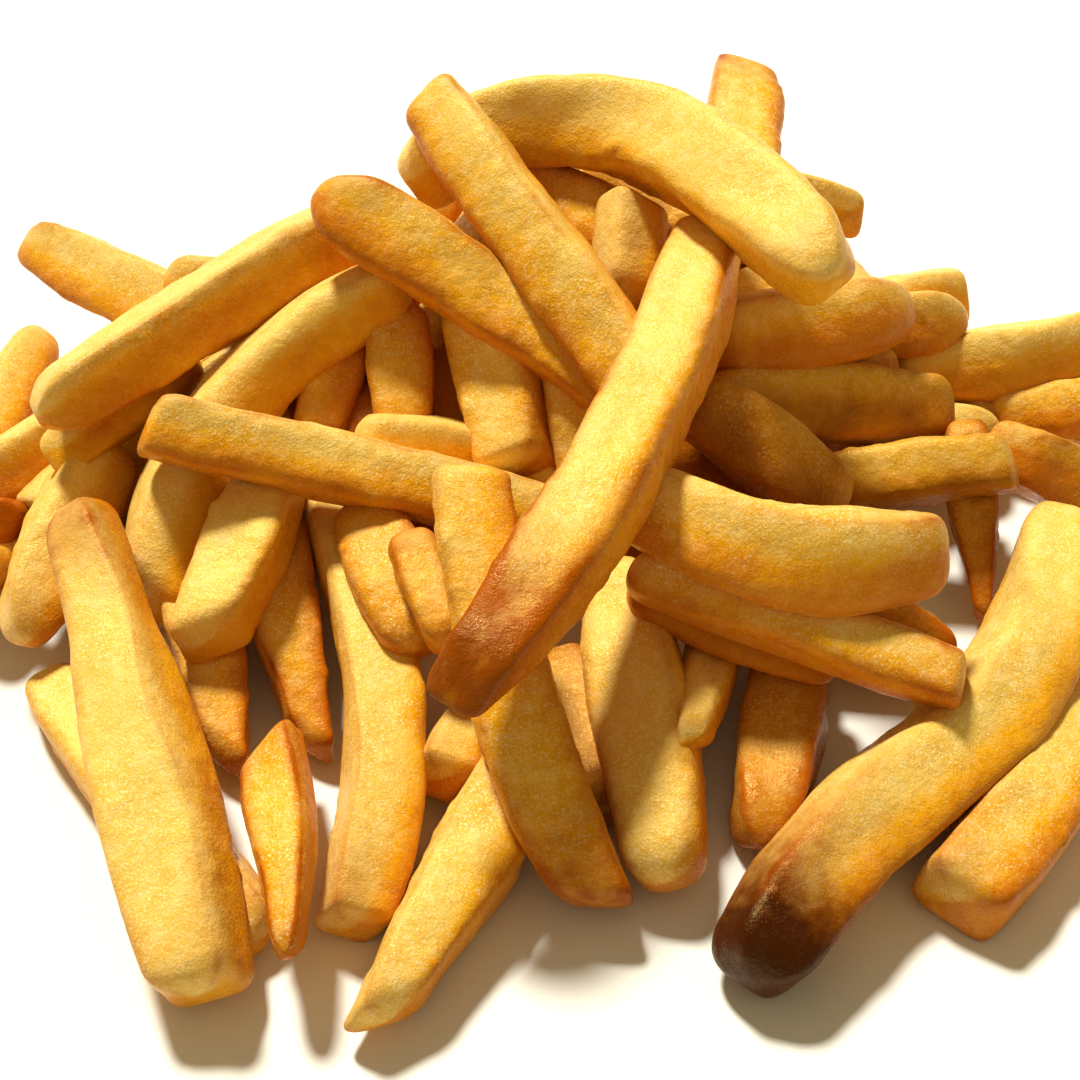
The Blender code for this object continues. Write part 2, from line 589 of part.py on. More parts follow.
def main():
    """Clear the scene, lay the heap and fuse it into one solid."""
    for old in list(bpy.data.objects):
        bpy.data.objects.remove(old)
    heap_parts = bpy.data.collections.new("heap of french fries")
    loose = bpy.data.collections.new("loose fries")
    cutters = bpy.data.collections.new("cutters")
    for collection in (heap_parts, loose, cutters):
        bpy.context.scene.collection.children.link(collection)

    fries = hidden_fries() + SHOWN
    fries, ends = back_fries(fries, settle(fries))
    for fry, fry_ends in zip(fries, ends):
        fry_object(fry, fry_ends, loose)

    heap = core_object("fries", heap_parts)
    union = heap.modifiers.new("fuse the fries", "BOOLEAN")
    union.operation = "UNION"
    union.operand_type = "COLLECTION"
    union.collection = loose
    union.solver = "EXACT"
    cut = heap.modifiers.new("cut flat at the table", "BOOLEAN")
    cut.operation = "DIFFERENCE"
    cut.object = floor_cutter(cutters)
    cut.solver = "EXACT"
    apply_modifiers(heap)
    for fry in list(loose.objects):
        bpy.data.objects.remove(fry)
    keep_main_shell(heap)
    heap.data.materials.clear()
    heap.data.materials.append(fry_material())
    heap.data.shade_smooth()
    heap.data.set_sharp_from_angle(angle=SMOOTH_BELOW)


main()
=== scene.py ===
import math
from dataclasses import dataclass

import bpy
import numpy as np
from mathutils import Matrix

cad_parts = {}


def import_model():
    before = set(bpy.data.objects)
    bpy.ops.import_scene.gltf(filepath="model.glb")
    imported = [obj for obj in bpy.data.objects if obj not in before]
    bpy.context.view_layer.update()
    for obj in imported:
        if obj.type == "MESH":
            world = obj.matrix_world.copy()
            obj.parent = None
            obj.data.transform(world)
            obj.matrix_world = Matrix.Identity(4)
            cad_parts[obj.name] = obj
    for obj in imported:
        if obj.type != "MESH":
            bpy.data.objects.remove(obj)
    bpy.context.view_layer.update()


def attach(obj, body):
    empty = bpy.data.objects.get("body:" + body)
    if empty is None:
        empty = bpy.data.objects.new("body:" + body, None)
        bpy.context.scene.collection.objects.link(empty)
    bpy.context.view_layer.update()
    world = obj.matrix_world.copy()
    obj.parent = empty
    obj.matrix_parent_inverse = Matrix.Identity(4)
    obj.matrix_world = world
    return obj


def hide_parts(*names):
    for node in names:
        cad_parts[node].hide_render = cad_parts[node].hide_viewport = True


# A loose heap of thick-cut french fries on a pale table.
#
# Every fry is a rounded bar carried along a gently bent centre line. Its place is
# given on a sight plane in front of an eye that looks down on the heap, and its
# height is a reading over the table that settling corrects until the fries lie on
# each other. Lengths are millimetres until the meshes are made.

MM = 0.001

# The eye that sees the heap from the front, and the plane its sight is measured on
EYE = np.array([0.0, -175.0, 165.0])
SIGHT_PITCH = math.radians(45)
SIGHT_PLANE = 170.0
SIGHT_HALF = 54.0
SIGHT_RIGHT = np.array([1.0, 0.0, 0.0])
SIGHT_UP = np.array([0.0, math.sin(SIGHT_PITCH), math.cos(SIGHT_PITCH)])
SIGHT_FORWARD = np.array([0.0, math.cos(SIGHT_PITCH), -math.sin(SIGHT_PITCH)])
SENSOR = 36.0
NEAREST = 10.0

# The mound of packed fries in the middle that carries the others
CORE_MIDDLE = (0.0, 8.0)
CORE_REACH = (48.0, 30.0)
CORE_HEIGHT = 24.0
CORE_GRID = (40, 96)
CORE_SEED = 3
CORE_LOWEST_SLOPE = -0.12 * math.pi
CORE_LUMPS = 0.05
CORE_LUMP_SIZE = 12
# Its deep tone and browning, with the browned skin, are the packed fries' colour and painted shade for the
# gaps where it shows between fries
CORE_TONE_AND_SHADE = 0.85
CORE_BROWN_AND_SHADE = 0.55

# Settling: how the fries are pushed apart where they would cross
STEPS = 15
PRESS = 0.86
FLOOR_PRESS = 0.4
TOUCH_REACH = 11.4
SETTLE_ROUNDS = 160
SETTLE_SHARE = 0.22
HOLD = 0.005
FALL = 0.16

# Fries that lie inside the heap, strewn over a mound
HIDDEN_SEED = 11
HIDDEN_FRIES = 26
HIDDEN_LENGTH = (46.0, 66.0)
HIDDEN_WIDTH = (8.6, 10.8)
HIDDEN_FLATTENING = (0.86, 0.98)
HIDDEN_ROLL = (0.0, 45.0)
HIDDEN_BOW = (-1.2, 1.2)
HIDDEN_OUT = (0.20, 0.85)
HIDDEN_OUT_POWER = 0.6
HIDDEN_BEARING = (-5.0, 185.0)
HIDDEN_TURN = (-60.0, 60.0)
HIDDEN_DEPTH = (4.0, 12.0)
HIDDEN_EDGE = 7.5
GOLDEN_SHARE = 0.618
MOUND_MIDDLE = (0.0, 14.0)
MOUND_REACH = (76.0, 66.0)
MOUND_HEIGHT = 40.0

# Fries dropped one by one behind the heap, where the eye doesn't reach: at most this
# many, and fewer where the tries run out
BACK_SEED = 4
BACK_FRIES = 30
BACK_TRIES = 3000
BACK_EDGE = 3.6
BACK_FRONT = 12.0
BACK_REACH = (72.0, 70.0)
BACK_NARROWING = 0.8
BACK_DEPTH = (0.25, 1.0)
BACK_STEEPEST = 0.85
BACK_SHOWN = 0.3
BACK_SINK = 4.0
BACK_SINK_SHARE = 1.8

# The middle of the heap's box, which becomes the origin
HEAP_MIDDLE = np.array([0.62, -2.67, 0.0])

# The squared section: how sharp its edges are, how hollow its faces, how uneven its sides
SQUARENESS = (3.2, 6.4)
HOLLOW = (0.0, 0.07)
TRAPEZE = (-0.10, 0.10)
SHEAR = (-0.10, 0.10)
EDGE_CROWD = 0.55
FACE_POWER = 6
HOLLOW_RUN = 26

# Along a fry: how it thins towards a cut, how unevenly wide and deep it is, and how it turns
NARROW_POWER = 1.5
UNEVEN = 0.05
UNEVEN_RUN = (34, 30)
TIP_SHIFT = 0.8
SLANT = 0.9
TURN = math.radians(7)
TURN_RUN = 45
SLOW_WAVES = 3

# Relief of the skin: swells of three sizes, and blisters where a patch of the skin is rough
SWELLS = (0.34, 0.17, 0.05)
SWELL_SIZES = (17, 6.5, 1.9)
SWELL_AT_END = 0.5
FINE_WAVES = 14
BLISTER = 0.42
BLISTER_SIZE = 3.0
BLISTER_FLOOR = 0.12
ROUGH_SIZE = 14
ROUGH_STEEPNESS = 1.4

# How far a ripple's wave lengths spread around its size, and how high its waves add up
WAVE_LENGTHS = (0.7, 1.5)
WAVE_GAIN = 1.4

# The lowest that a skin comes to the table
OVER_TABLE = 0.05

# Frying colour: patches and speckles of the tone, brown edges, and how far in an end is browned and burnt.
# Painted light: where a place turned towards the key light starts to be painted paler, and how steeply.
PATCH_SIZE = 9
SPECKLE_SIZE = 3.2
PATCH_TONE = 0.16
SPECKLE_TONE = 0.05
LIT_START = 0.1
LIT_STEEPNESS = 1.1
EDGE_BROWN = 1.3
EDGE_POWER = 2.5
BROWN_REACH = 1.9
BURNT_REACH = 1.6

# Painted light and shade: the side of a fry that faces the key light, which is painted palest, and how much
# paler it is painted than the shaded side away from it
LIT_SIDE = np.array([-0.36, 0.40, 0.84])
LIT_PALING = 0.85

# Kept off a division by nothing
TINY = 1e-9

# How fine a fry's skin is modelled: rings along it, corners around it, rings over each cut end.
# The fries that show are fine, and those inside the heap are plain.
FINE = (74, 56, 11)
PLAIN = (44, 32, 8)
INNER_SEED = 9

# Each fry's cell of the map: how much taller than wide, and the empty edge around it
CELL_SHAPE = 2.2
CELL_EDGE = 0.02


@dataclass
class Fry:
    """One fry: its ends and bend on the sight plane, its thickness, roll, cut ends and frying colour.

    An end is (across, up, height over the table). A bow and a sway are (across, up),
    how far the line bends at mid length and how far a full wave swings along it.
    Tone runs from 0 for pale to 1 for deep amber, browned is how dark the two ends
    and the long edges are, and charred how burnt the two ends are.
    """

    name: str
    start: tuple
    end: tuple
    width: float
    depth: float
    bow: tuple = (0.0, 0.0)
    roll: float = 0.0
    sway: tuple = (0.0, 0.0)
    cuts: tuple = ("round", "round")
    under: tuple = ()
    inside: bool = False
    tone: float = 0.45
    browned: tuple = (0.15, 0.15, 0.25)
    charred: tuple = (0.0, 0.0)
    kind: str = "golden"


# The fries that show, from the lowest to the one on top. Fries that lie in shade are given deeper tones and
# the darker browned skin: partly their own colour, partly painted shade.
SHOWN = [
    Fry("right edge low", (44.5, 12.5, 6), (60.0, 13.6, 6), 9.5, 9.0, tone=0.75, kind="amber"),
    Fry("right edge long", (34.5, 16.4, 12), (60.0, 21.0, 8), 10.6, 9.6, bow=(0, -0.6), tone=0.35,
        kind="pale"),
    Fry("right back stub", (34.0, 24.0, 20), (41.8, 24.4, 18), 8.2, 8.6, cuts=("round", "square"), tone=0.2,
        kind="pale"),
    Fry("right back round", (31.0, 21.2, 28), (42.8, 22.2, 24), 11.0, 9.8, cuts=("round", "oval"),
        tone=0.45),
    Fry("left back", (-51.2, 30.0, 10), (-31.0, 20.0, 16), 9.6, 8.8, cuts=("oval", "round"), tone=0.45,
        browned=(0.35, 0.1, 0.3)),
    Fry("left back inner", (-37.5, 26.0, 12), (-24.0, 24.0, 14), 8.8, 8.6, tone=0.3, kind="pale"),
    Fry("left edge upper", (-49.6, 20.6, 18), (-59.4, 2.8, 8), 9.4, 9.0, cuts=("oval", "round"), tone=0.4,
        kind="pale"),
    Fry("left edge long", (-46.0, 11.6, 12), (-60.0, 2.2, 6), 9.4, 9.0, tone=0.5),
    Fry("left edge brown", (-58.5, 2.0, 6), (-51.3, 2.0, 5), 7.4, 7.0, tone=0.95, browned=(0.7, 0.8, 0.6),
        kind="browned"),
    Fry("left edge olive", (-58.0, -5.0, 5), (-52.6, -1.8, 5), 7.4, 7.0, tone=0.5, kind="browned"),
    Fry("wedge behind arch", (23.0, 35.0, 34), (31.2, 32.8, 32), 9.4, 8.4, cuts=("round", "wedge"),
        tone=0.25, kind="pale"),
    Fry("spike", (20.8, 46.8, 40), (19.8, 29.0, 34), 11.2, 9.2, cuts=("chamfer left", "round"), tone=0.7,
        browned=(0.4, 0.1, 0.5)),
    Fry("shaded under arch", (-4.0, 37.2, 38), (16.0, 26.0, 32), 10.6, 10.2, roll=8, tone=0.85,
        browned=(0.2, 0.3, 0.3), kind="amber"),
    Fry("stub under arch", (9.2, 34.0, 42), (8.4, 23.0, 32), 9.2, 9.0, roll=28, cuts=("square", "round"),
        tone=0.3, kind="pale"),
    Fry("right shaded band", (18.0, 14.6, 24), (35.6, 17.4, 22), 9.0, 8.6, tone=0.85, kind="amber"),
    Fry("right big round", (15.0, 19.6, 36), (37.2, 23.4, 36), 13.4, 12.0, bow=(0, -0.4),
        cuts=("round", "oval"), tone=0.6, browned=(0.2, 0.2, 0.45), kind="amber"),
    Fry("right pale patch", (36.0, 11.4, 16), (46.0, 10.6, 14), 8.6, 8.2, tone=0.2, kind="pale"),
    Fry("right olive", (15.0, 13.4, 30), (41.2, 13.0, 28), 10.4, 9.6, bow=(0, 0.5), roll=12, tone=0.35,
        browned=(0.3, 0.25, 0.3), kind="browned"),
    Fry("right thin point", (42.6, 12.0, 20), (44.5, -7.8, 6), 7.0, 6.4, cuts=("round", "spear"), tone=0.7,
        browned=(0.4, 0.7, 0.5), kind="browned"),
    Fry("right edge orange", (46.6, 9.4, 14), (58.5, 3.4, 9), 9.8, 9.2, roll=10, cuts=("wedge", "square"),
        tone=0.6, browned=(0.4, 0.2, 0.4), kind="amber"),
    Fry("right grey", (24.0, 5.2, 22), (47.4, 7.8, 22), 8.2, 7.4, roll=8, cuts=("round", "square"),
        tone=0.35, browned=(0.1, 0.1, 0.3), kind="browned"),
    Fry("right dark slope", (14.0, 15.0, 32), (30.5, 3.2, 24), 10.4, 9.6, roll=10, tone=0.55,
        browned=(0.2, 0.2, 0.2), kind="browned"),
    Fry("left leg olive", (-49.4, -13.4, 5), (-27.4, -39.6, 5), 8.6, 7.4, bow=(-0.8, -0.8), tone=0.35,
        browned=(0.1, 0.35, 0.3), kind="pale"),
    Fry("left leg back", (-42.4, 9.6, 18), (-51.2, -10.4, 7), 10.2, 9.4, bow=(-1.2, 0.3), roll=12,
        cuts=("round", "oval"), tone=0.35, browned=(0.1, 0.35, 0.2), kind="pale"),
    Fry("left crook", (-47.8, 9.2, 20), (-35.0, 18.4, 22), 8.8, 8.6, roll=20, cuts=("wedge", "round"),
        tone=0.25, kind="pale"),
    Fry("left inner long", (-9.0, 26.0, 30), (-31.0, 16.0, 18), 9.2, 9.0, roll=15, tone=0.8, kind="amber"),
    Fry("inner brown left", (-19.5, 21.4, 22), (-22.6, 8.6, 14), 9.0, 9.0, tone=0.78,
        browned=(0.3, 0.3, 0.3), kind="amber"),
    Fry("inner brown right", (-14.2, 23.6, 26), (-13.4, 9.6, 16), 9.0, 9.0, tone=0.78,
        browned=(0.2, 0.3, 0.3), kind="amber"),
    Fry("shaded amber", (-32.0, 6.0, 16), (-35.6, -7.4, 10), 8.4, 8.0, tone=0.8, kind="amber"),
    Fry("amber point left", (-35.2, 4.0, 18), (-32.0, -22.4, 5), 9.2, 8.2, cuts=("round", "slant right"),
        tone=0.7, browned=(0.1, 0.45, 0.4), kind="amber"),
    Fry("amber point right", (-26.2, 5.0, 18), (-23.4, -20.8, 5), 8.2, 7.8, bow=(-0.8, 0),
        cuts=("round", "slant right"), tone=0.8, browned=(0.2, 0.6, 0.5), kind="amber"),
    Fry("bowed pale leg", (-21.6, 4.6, 22), (-19.0, -38.8, 6), 8.8, 8.4, bow=(4.6, 0), roll=16,
        cuts=("round", "square"), tone=0.3, browned=(0.3, 0.4, 0.35), kind="pale"),
    Fry("wide shaded", (-17.6, 3.6, 18), (-12.2, -11.2, 8), 9.8, 9.2, tone=0.95, browned=(0.4, 0.3, 0.4),
        kind="amber"),
    Fry("long pale left", (-13.0, 26.0, 30), (-39.4, -6.2, 12), 10.2, 9.6, bow=(-4.3, 3.6), roll=18,
        cuts=("round", "chamfer right"), tone=0.15, kind="pale"),
    Fry("blunt pale", (-25.8, 8.0, 24), (-33.0, -10.2, 14), 9.6, 9.0, roll=-30,
        cuts=("round", "chamfer left"), tone=0.15, kind="pale"),
    Fry("left leg big", (-46.6, 3.8, 24), (-33.8, -45.6, 6.5), 11.8, 10.4, bow=(0.4, 0), roll=-23,
        cuts=("neck", "blunt"), tone=0.25, browned=(0.6, 0.25, 0.35), kind="pale"),
    Fry("short orange", (-27.2, -20.8, 5), (-25.4, -41.4, 5), 9.6, 8.2, bow=(0.7, 0), roll=-14,
        cuts=("chamfer right", "leaf"), tone=1.0, browned=(0.3, 0.45, 0.9), kind="amber"),
    Fry("centre chip", (-4.0, 8.6, 22), (2.4, 4.6, 20), 6.4, 6.2, tone=0.3, kind="pale"),
    Fry("centre pale rough", (-18.5, 10.0, 22), (-4.6, 8.2, 22), 8.8, 8.2, tone=0.2, kind="pale"),
    Fry("centre back pale", (2.6, 21.0, 32), (5.0, 4.6, 26), 9.6, 9.2, tone=0.55, kind="golden"),
    Fry("centre blunt", (-7.0, 24.6, 36), (-2.4, 6.8, 28), 10.6, 9.8, bow=(0.6, 0), roll=-18,
        cuts=("round", "square"), tone=0.5, kind="golden"),
    Fry("left back long", (-50.2, 12.2, 26), (-14.0, 33.6, 46), 9.4, 9.0, bow=(0, 0.9), roll=-14,
        cuts=("oval", "round"), tone=0.4, browned=(0.2, 0.1, 0.45)),
    Fry("front long flat", (-39.4, 11.6, 28), (3.4, 1.6, 36), 8.2, 8.0, roll=16, cuts=("square", "round"),
        tone=0.4, browned=(0.2, 0.1, 0.45)),
    Fry("bottom dark sliver", (2.0, -11.0, 13), (6.8, -27.4, 5), 8.2, 7.6, tone=0.8,
        browned=(0.4, 0.5, 0.5), kind="browned"),
    Fry("bottom three-faced", (7.4, -2.4, 26), (12.8, -34.4, 6), 10.6, 9.8, bow=(0.6, 0.2), roll=-14,
        tone=0.5, browned=(0.1, 0.2, 0.35)),
    Fry("bottom stub", (-3.4, -14.0, 12), (-9.8, -24.0, 7), 8.0, 7.8, cuts=("round", "square"), tone=0.55,
        browned=(0.2, 0.3, 0.4)),
    Fry("bottom olive taper", (-0.6, -20.0, 13), (-14.8, -48.0, 5), 10.4, 9.2, bow=(0.2, 0.4),
        cuts=("round", "slant left"), tone=0.45, browned=(0.1, 0.25, 0.35)),
    Fry("small shaded", (-13.2, 0.8, 22), (-8.6, -10.6, 15), 7.2, 7.0, tone=0.85, browned=(0.5, 0.3, 0.4),
        kind="amber"),
    Fry("long amber front", (-6.6, 7.2, 43), (5.6, -36.6, 6), 9.8, 9.0, bow=(-2.8, 0),
        cuts=("square", "chamfer right"), tone=0.6, browned=(0.1, 0.75, 0.35), charred=(0.0, 0.2)),
    Fry("lit chip right", (17.6, -8.4, 14), (16.2, -19.6, 7), 7.4, 7.2, cuts=("round", "slant left"),
        tone=0.4, kind="pale"),
    Fry("dark finger", (25.4, -8.6, 18), (22.0, -30.6, 6), 10.4, 9.6, bow=(0.4, 0), cuts=("round", "oval"),
        tone=0.75, browned=(0.3, 0.5, 0.45), kind="browned"),
    Fry("dark right corner", (23.0, -1.6, 20), (41.2, -12.0, 12), 8.8, 8.4, tone=0.7,
        browned=(0.4, 0.6, 0.5), kind="browned"),
    Fry("right under", (9.0, -4.6, 20), (30.0, -12.6, 18), 8.0, 7.6, tone=0.75, browned=(0.3, 0.2, 0.3),
        kind="amber"),
    Fry("right low end", (57.0, -15.0, 9), (41.6, -36.4, 6), 10.6, 9.4, bow=(0.6, 0),
        cuts=("round", "square"), tone=0.6, browned=(0.1, 0.4, 0.4)),
    Fry("burnt leg", (51.8, 3.2, 22), (21.0, -44.2, 6.5), 11.6, 10.8, bow=(3.1, -2.0), roll=14,
        sway=(2.4, -1.5), cuts=("oval", "round"), tone=0.3, browned=(0.15, 1.0, 0.3), charred=(0.0, 1.0)),
    Fry("right blunt", (9.0, -2.8, 26), (42.4, -14.4, 26), 8.0, 7.6, roll=20, cuts=("round", "square"),
        tone=0.6, browned=(0.1, 0.4, 0.4)),
    Fry("right golden bowed", (9.0, 5.2, 34), (40.4, -0.8, 36), 11.6, 10.4, bow=(0, -3.6), roll=-10,
        cuts=("round", "blunt"), tone=0.55, browned=(0.1, 0.35, 0.3)),
    Fry("arch", (-12.8, 36.0, 46), (29.4, 26.0, 56), 12.2, 11.2, bow=(-0.6, 10.2), roll=10,
        cuts=("round", "oval"), tone=0.15, browned=(0.1, 0.25, 0.15), kind="pale"),
    Fry("tapered top", (-22.6, 34.8, 48), (6.6, 13.2, 40), 12.0, 10.4, bow=(1.2, 1.0), roll=14,
        cuts=("oval", "leaf"), tone=0.6, browned=(0.3, 0.2, 0.5), kind="amber"),
    Fry("khaki top", (-11.4, 44.6, 60), (11.8, 13.2, 46), 10.0, 9.4, roll=-12, cuts=("blunt", "round"),
        tone=0.5, browned=(0.1, 0.1, 0.4)),
    Fry("crusty front", (17.4, 31.4, 48), (-8.2, -14.4, 38), 9.8, 9.2, bow=(3.0, -1.4), roll=-24,
        cuts=("round", "wedge"), under=("arch",), tone=0.5, browned=(0.1, 1.0, 0.7), charred=(0.0, 0.4)),
]

# How far up the sight plane the heap reaches, at places across it
SKYLINE_ACROSS = (-60.0, -52.0, -36.0, -22.0, -10.0, 8.0, 22.0, 32.0, 42.0, 60.0)
SKYLINE_UP = (19.0, 27.0, 26.0, 33.0, 41.0, 45.0, 41.0, 31.0, 24.0, 22.0)


@dataclass
class Cut:
    """How a fry ends, in half thicknesses.

    The end rounds over a depth, flatter the higher its power. It narrows to a
    share over a run. Its face slants towards the eye, and to the tip's side.
    """

    depth: float
    power: float
    narrow: tuple
    run: float
    slant: float
    aside: float


CUTS = {
    "round": Cut(0.90, 2.3, (0.82, 0.84), 1.8, 0.14, 0.05),
    "oval": Cut(1.35, 2.0, (0.78, 0.78), 2.6, 0.10, 0.05),
    "blunt": Cut(0.72, 2.8, (0.84, 0.84), 1.9, 0.16, -0.10),
    "square": Cut(0.50, 3.8, (0.92, 0.92), 1.3, 0.18, 0.12),
    "wedge": Cut(0.62, 3.0, (0.84, 0.60), 2.6, 0.75, 0.10),
    "spear": Cut(0.60, 2.4, (0.40, 0.42), 3.6, 0.35, 0.0),
    "leaf": Cut(0.95, 2.1, (0.40, 0.52), 4.2, 0.20, 0.0),
    "neck": Cut(0.95, 2.1, (0.62, 0.68), 4.6, 0.30, 0.0),
    "slant left": Cut(0.60, 2.5, (0.60, 0.66), 2.8, 0.25, 0.62),
    "slant right": Cut(0.60, 2.5, (0.60, 0.66), 2.8, 0.25, -0.62),
    "chamfer left": Cut(0.55, 3.0, (0.86, 0.78), 1.8, 0.25, 0.50),
    "chamfer right": Cut(0.55, 3.0, (0.86, 0.78), 1.8, 0.25, -0.50),
}


def between(limits, share):
    """The value a share of the way from the first limit to the second."""
    return limits[0] + (limits[1] - limits[0]) * share


def mound_top(x, y):
    """The height of the strewn mound over a place of the table: a half ellipsoid."""
    across = (x - MOUND_MIDDLE[0]) / MOUND_REACH[0]
    along = (y - MOUND_MIDDLE[1]) / MOUND_REACH[1]
    return MOUND_HEIGHT * math.sqrt(max(1 - across * across - along * along, 0.0))


def seen(point):
    """Where a point of the room shows on the sight plane, across and up."""
    away = np.asarray(point, float) - EYE
    return SIGHT_PLANE * np.array([away @ SIGHT_RIGHT, away @ SIGHT_UP]) / (away @ SIGHT_FORWARD)


def over_skyline(plane, edge):
    """How far points of the sight plane, with an edge around them, stand over the heap's skyline."""
    return (plane[:, 1] + edge - np.interp(plane[:, 0], SKYLINE_ACROSS, SKYLINE_UP)).max()


def hidden_fries():
    """Fries strewn over the back and sides of the mound by a seeded rule, kept below its skyline."""
    draw = np.random.default_rng(HIDDEN_SEED)
    fries = []
    for n in range(HIDDEN_FRIES):
        ring = ((n + 0.5) / HIDDEN_FRIES) ** HIDDEN_OUT_POWER
        out = between(HIDDEN_OUT, ring)
        bearing = math.radians(between(HIDDEN_BEARING, (n * GOLDEN_SHARE) % 1.0))
        x = MOUND_MIDDLE[0] + MOUND_REACH[0] * out * math.cos(bearing)
        y = MOUND_MIDDLE[1] + MOUND_REACH[1] * out * math.sin(bearing)
        heading = bearing + math.radians(90 + draw.uniform(*HIDDEN_TURN))
        half = 0.5 * draw.uniform(*HIDDEN_LENGTH)
        width = draw.uniform(*HIDDEN_WIDTH)
        ends = []
        for side in (-1, 1):
            end_x = x + side * half * math.cos(heading)
            end_y = y + side * half * math.sin(heading)
            height = max(mound_top(end_x, end_y) - draw.uniform(*HIDDEN_DEPTH), 0.5 * width)
            ends.append([*seen((end_x, end_y, height)), height])
        along = np.linspace(ends[0][:2], ends[1][:2], STEPS)
        over = over_skyline(along, HIDDEN_EDGE)
        for end in ends:
            end[1] -= max(over, 0.0)
        fries.append(
            Fry(
                f"hidden {n + 1}",
                tuple(ends[0]),
                tuple(ends[1]),
                width,
                width * draw.uniform(*HIDDEN_FLATTENING),
                bow=(0.0, draw.uniform(*HIDDEN_BOW)),
                roll=draw.uniform(*HIDDEN_ROLL),
                cuts=("round", "square"),
                inside=True,
            )
        )
    return sorted(fries, key=lambda fry: fry.start[2] + fry.end[2])


def sight_line(fry, steps):
    """Points of the sight plane along a fry: a straight run plus a parabola and one sine wave."""
    t = np.linspace(0.0, 1.0, steps)[:, None]
    start, end = np.array(fry.start[:2]), np.array(fry.end[:2])
    bend = np.array(fry.bow) * (4 * t * (1 - t)) + np.array(fry.sway) * np.sin(2 * math.pi * t)
    return t[:, 0], start + (end - start) * t + bend


def rays(plane):
    """The rays from the eye through points of the sight plane."""
    return plane[:, :1] * SIGHT_RIGHT + plane[:, 1:] * SIGHT_UP + SIGHT_PLANE * SIGHT_FORWARD


def at_height(plane, height):
    """Where rays through points of the sight plane come down to a height over the table."""
    ray = rays(plane)
    return EYE + ray * ((height - EYE[2]) / ray[:, 2])[:, None]


def core_top(point):
    """The core's height over places of the table: a half ellipsoid, with the floor beyond it."""
    x = (point[:, 0] - CORE_MIDDLE[0]) / CORE_REACH[0]
    y = (point[:, 1] - CORE_MIDDLE[1]) / CORE_REACH[1]
    return CORE_HEIGHT * np.sqrt(np.clip(1 - x * x - y * y, 0, None))


def settle(fries):
    """The end heights of all fries once they are pushed apart.

    Along every line of sight a later fry lies nearer to the eye than an earlier
    one, by most of what both are thick there, unless it is named as lying under
    that one, which turns the two round. Each round moves every fry's ends
    by a share of what is missing, later ones up and earlier ones down, draws them
    a little to the heights that were given, and lets every fry fall a little, but
    none below the table or into the core. What the last round leaves is overlap.
    """
    count = len(fries)
    t = np.linspace(0.0, 1.0, STEPS)
    plane = np.array([sight_line(fry, STEPS)[1] for fry in fries])
    reach = np.array([0.25 * (fry.width + fry.depth) for fry in fries])
    wanted = np.array([(fry.start[2], fry.end[2]) for fry in fries], float)
    ends = np.maximum(wanted, (reach - FLOOR_PRESS)[:, None])
    drop = -rays(plane.reshape(-1, 2))[:, 2].reshape(count, STEPS)
    flat = plane.reshape(-1, 2)
    owner = np.repeat(np.arange(count), STEPS)
    near = np.linalg.norm(flat[:, None] - flat[None], axis=2)
    front, back = np.nonzero((near < TOUCH_REACH) & (owner[:, None] > owner[None]))
    names = [fry.name for fry in fries]
    under = {(n, names.index(other)) for n, fry in enumerate(fries) for other in fry.under}
    turned = np.array([(a, b) in under for a, b in zip(owner[front], owner[back])])
    front, back = np.where(turned, back, front), np.where(turned, front, back)
    near = near[front, back]
    apart = PRESS * (reach[owner[front]] + reach[owner[back]])
    for _ in range(SETTLE_ROUNDS):
        height = ends[:, :1] + (ends[:, 1:] - ends[:, :1]) * t
        scale = ((EYE[2] - height) / drop).reshape(-1)
        gap = near * scale[back]
        between_them = (scale[back] - scale[front]) * SIGHT_PLANE
        missing = np.sqrt(np.clip(apart**2 - gap**2, 0, None)) - between_them
        missing = np.where(gap < apart, np.clip(missing, 0, None), 0)
        up, down = np.zeros(count * STEPS), np.zeros(count * STEPS)
        np.maximum.at(up, front, missing)
        np.maximum.at(down, back, missing)
        up, down = (push.reshape(count, STEPS) * drop / SIGHT_PLANE for push in (up, down))
        place = at_height(flat, height.reshape(-1))
        into_core = core_top(place).reshape(count, STEPS) + PRESS * reach[:, None] - height
        up = np.maximum(up, into_core)
        for side, weight in ((0, 1 - t), (1, t)):
            push = (up * weight).max(axis=1) - (down * weight).max(axis=1)
            ends[:, side] += SETTLE_SHARE * push + HOLD * (wanted[:, side] - ends[:, side]) - FALL
        ends = np.maximum(ends, (reach - FLOOR_PRESS)[:, None])
    return ends


def rest_on(t, need):
    """The end heights of the straight line over points (t, need) that is lowest at mid length."""
    low, high = t < 0.5, t >= 0.5
    t1, t2 = t[low][:, None], t[high][None, :]
    n1, n2 = need[low][:, None], need[high][None, :]
    slope = (n2 - n1) / (t2 - t1)
    at_middle = n1 + slope * (0.5 - t1)
    i, j = np.unravel_index(np.argmax(at_middle), at_middle.shape)
    start = n1[i, 0] - slope[i, j] * t1[i, 0]
    return start, start + slope[i, j]


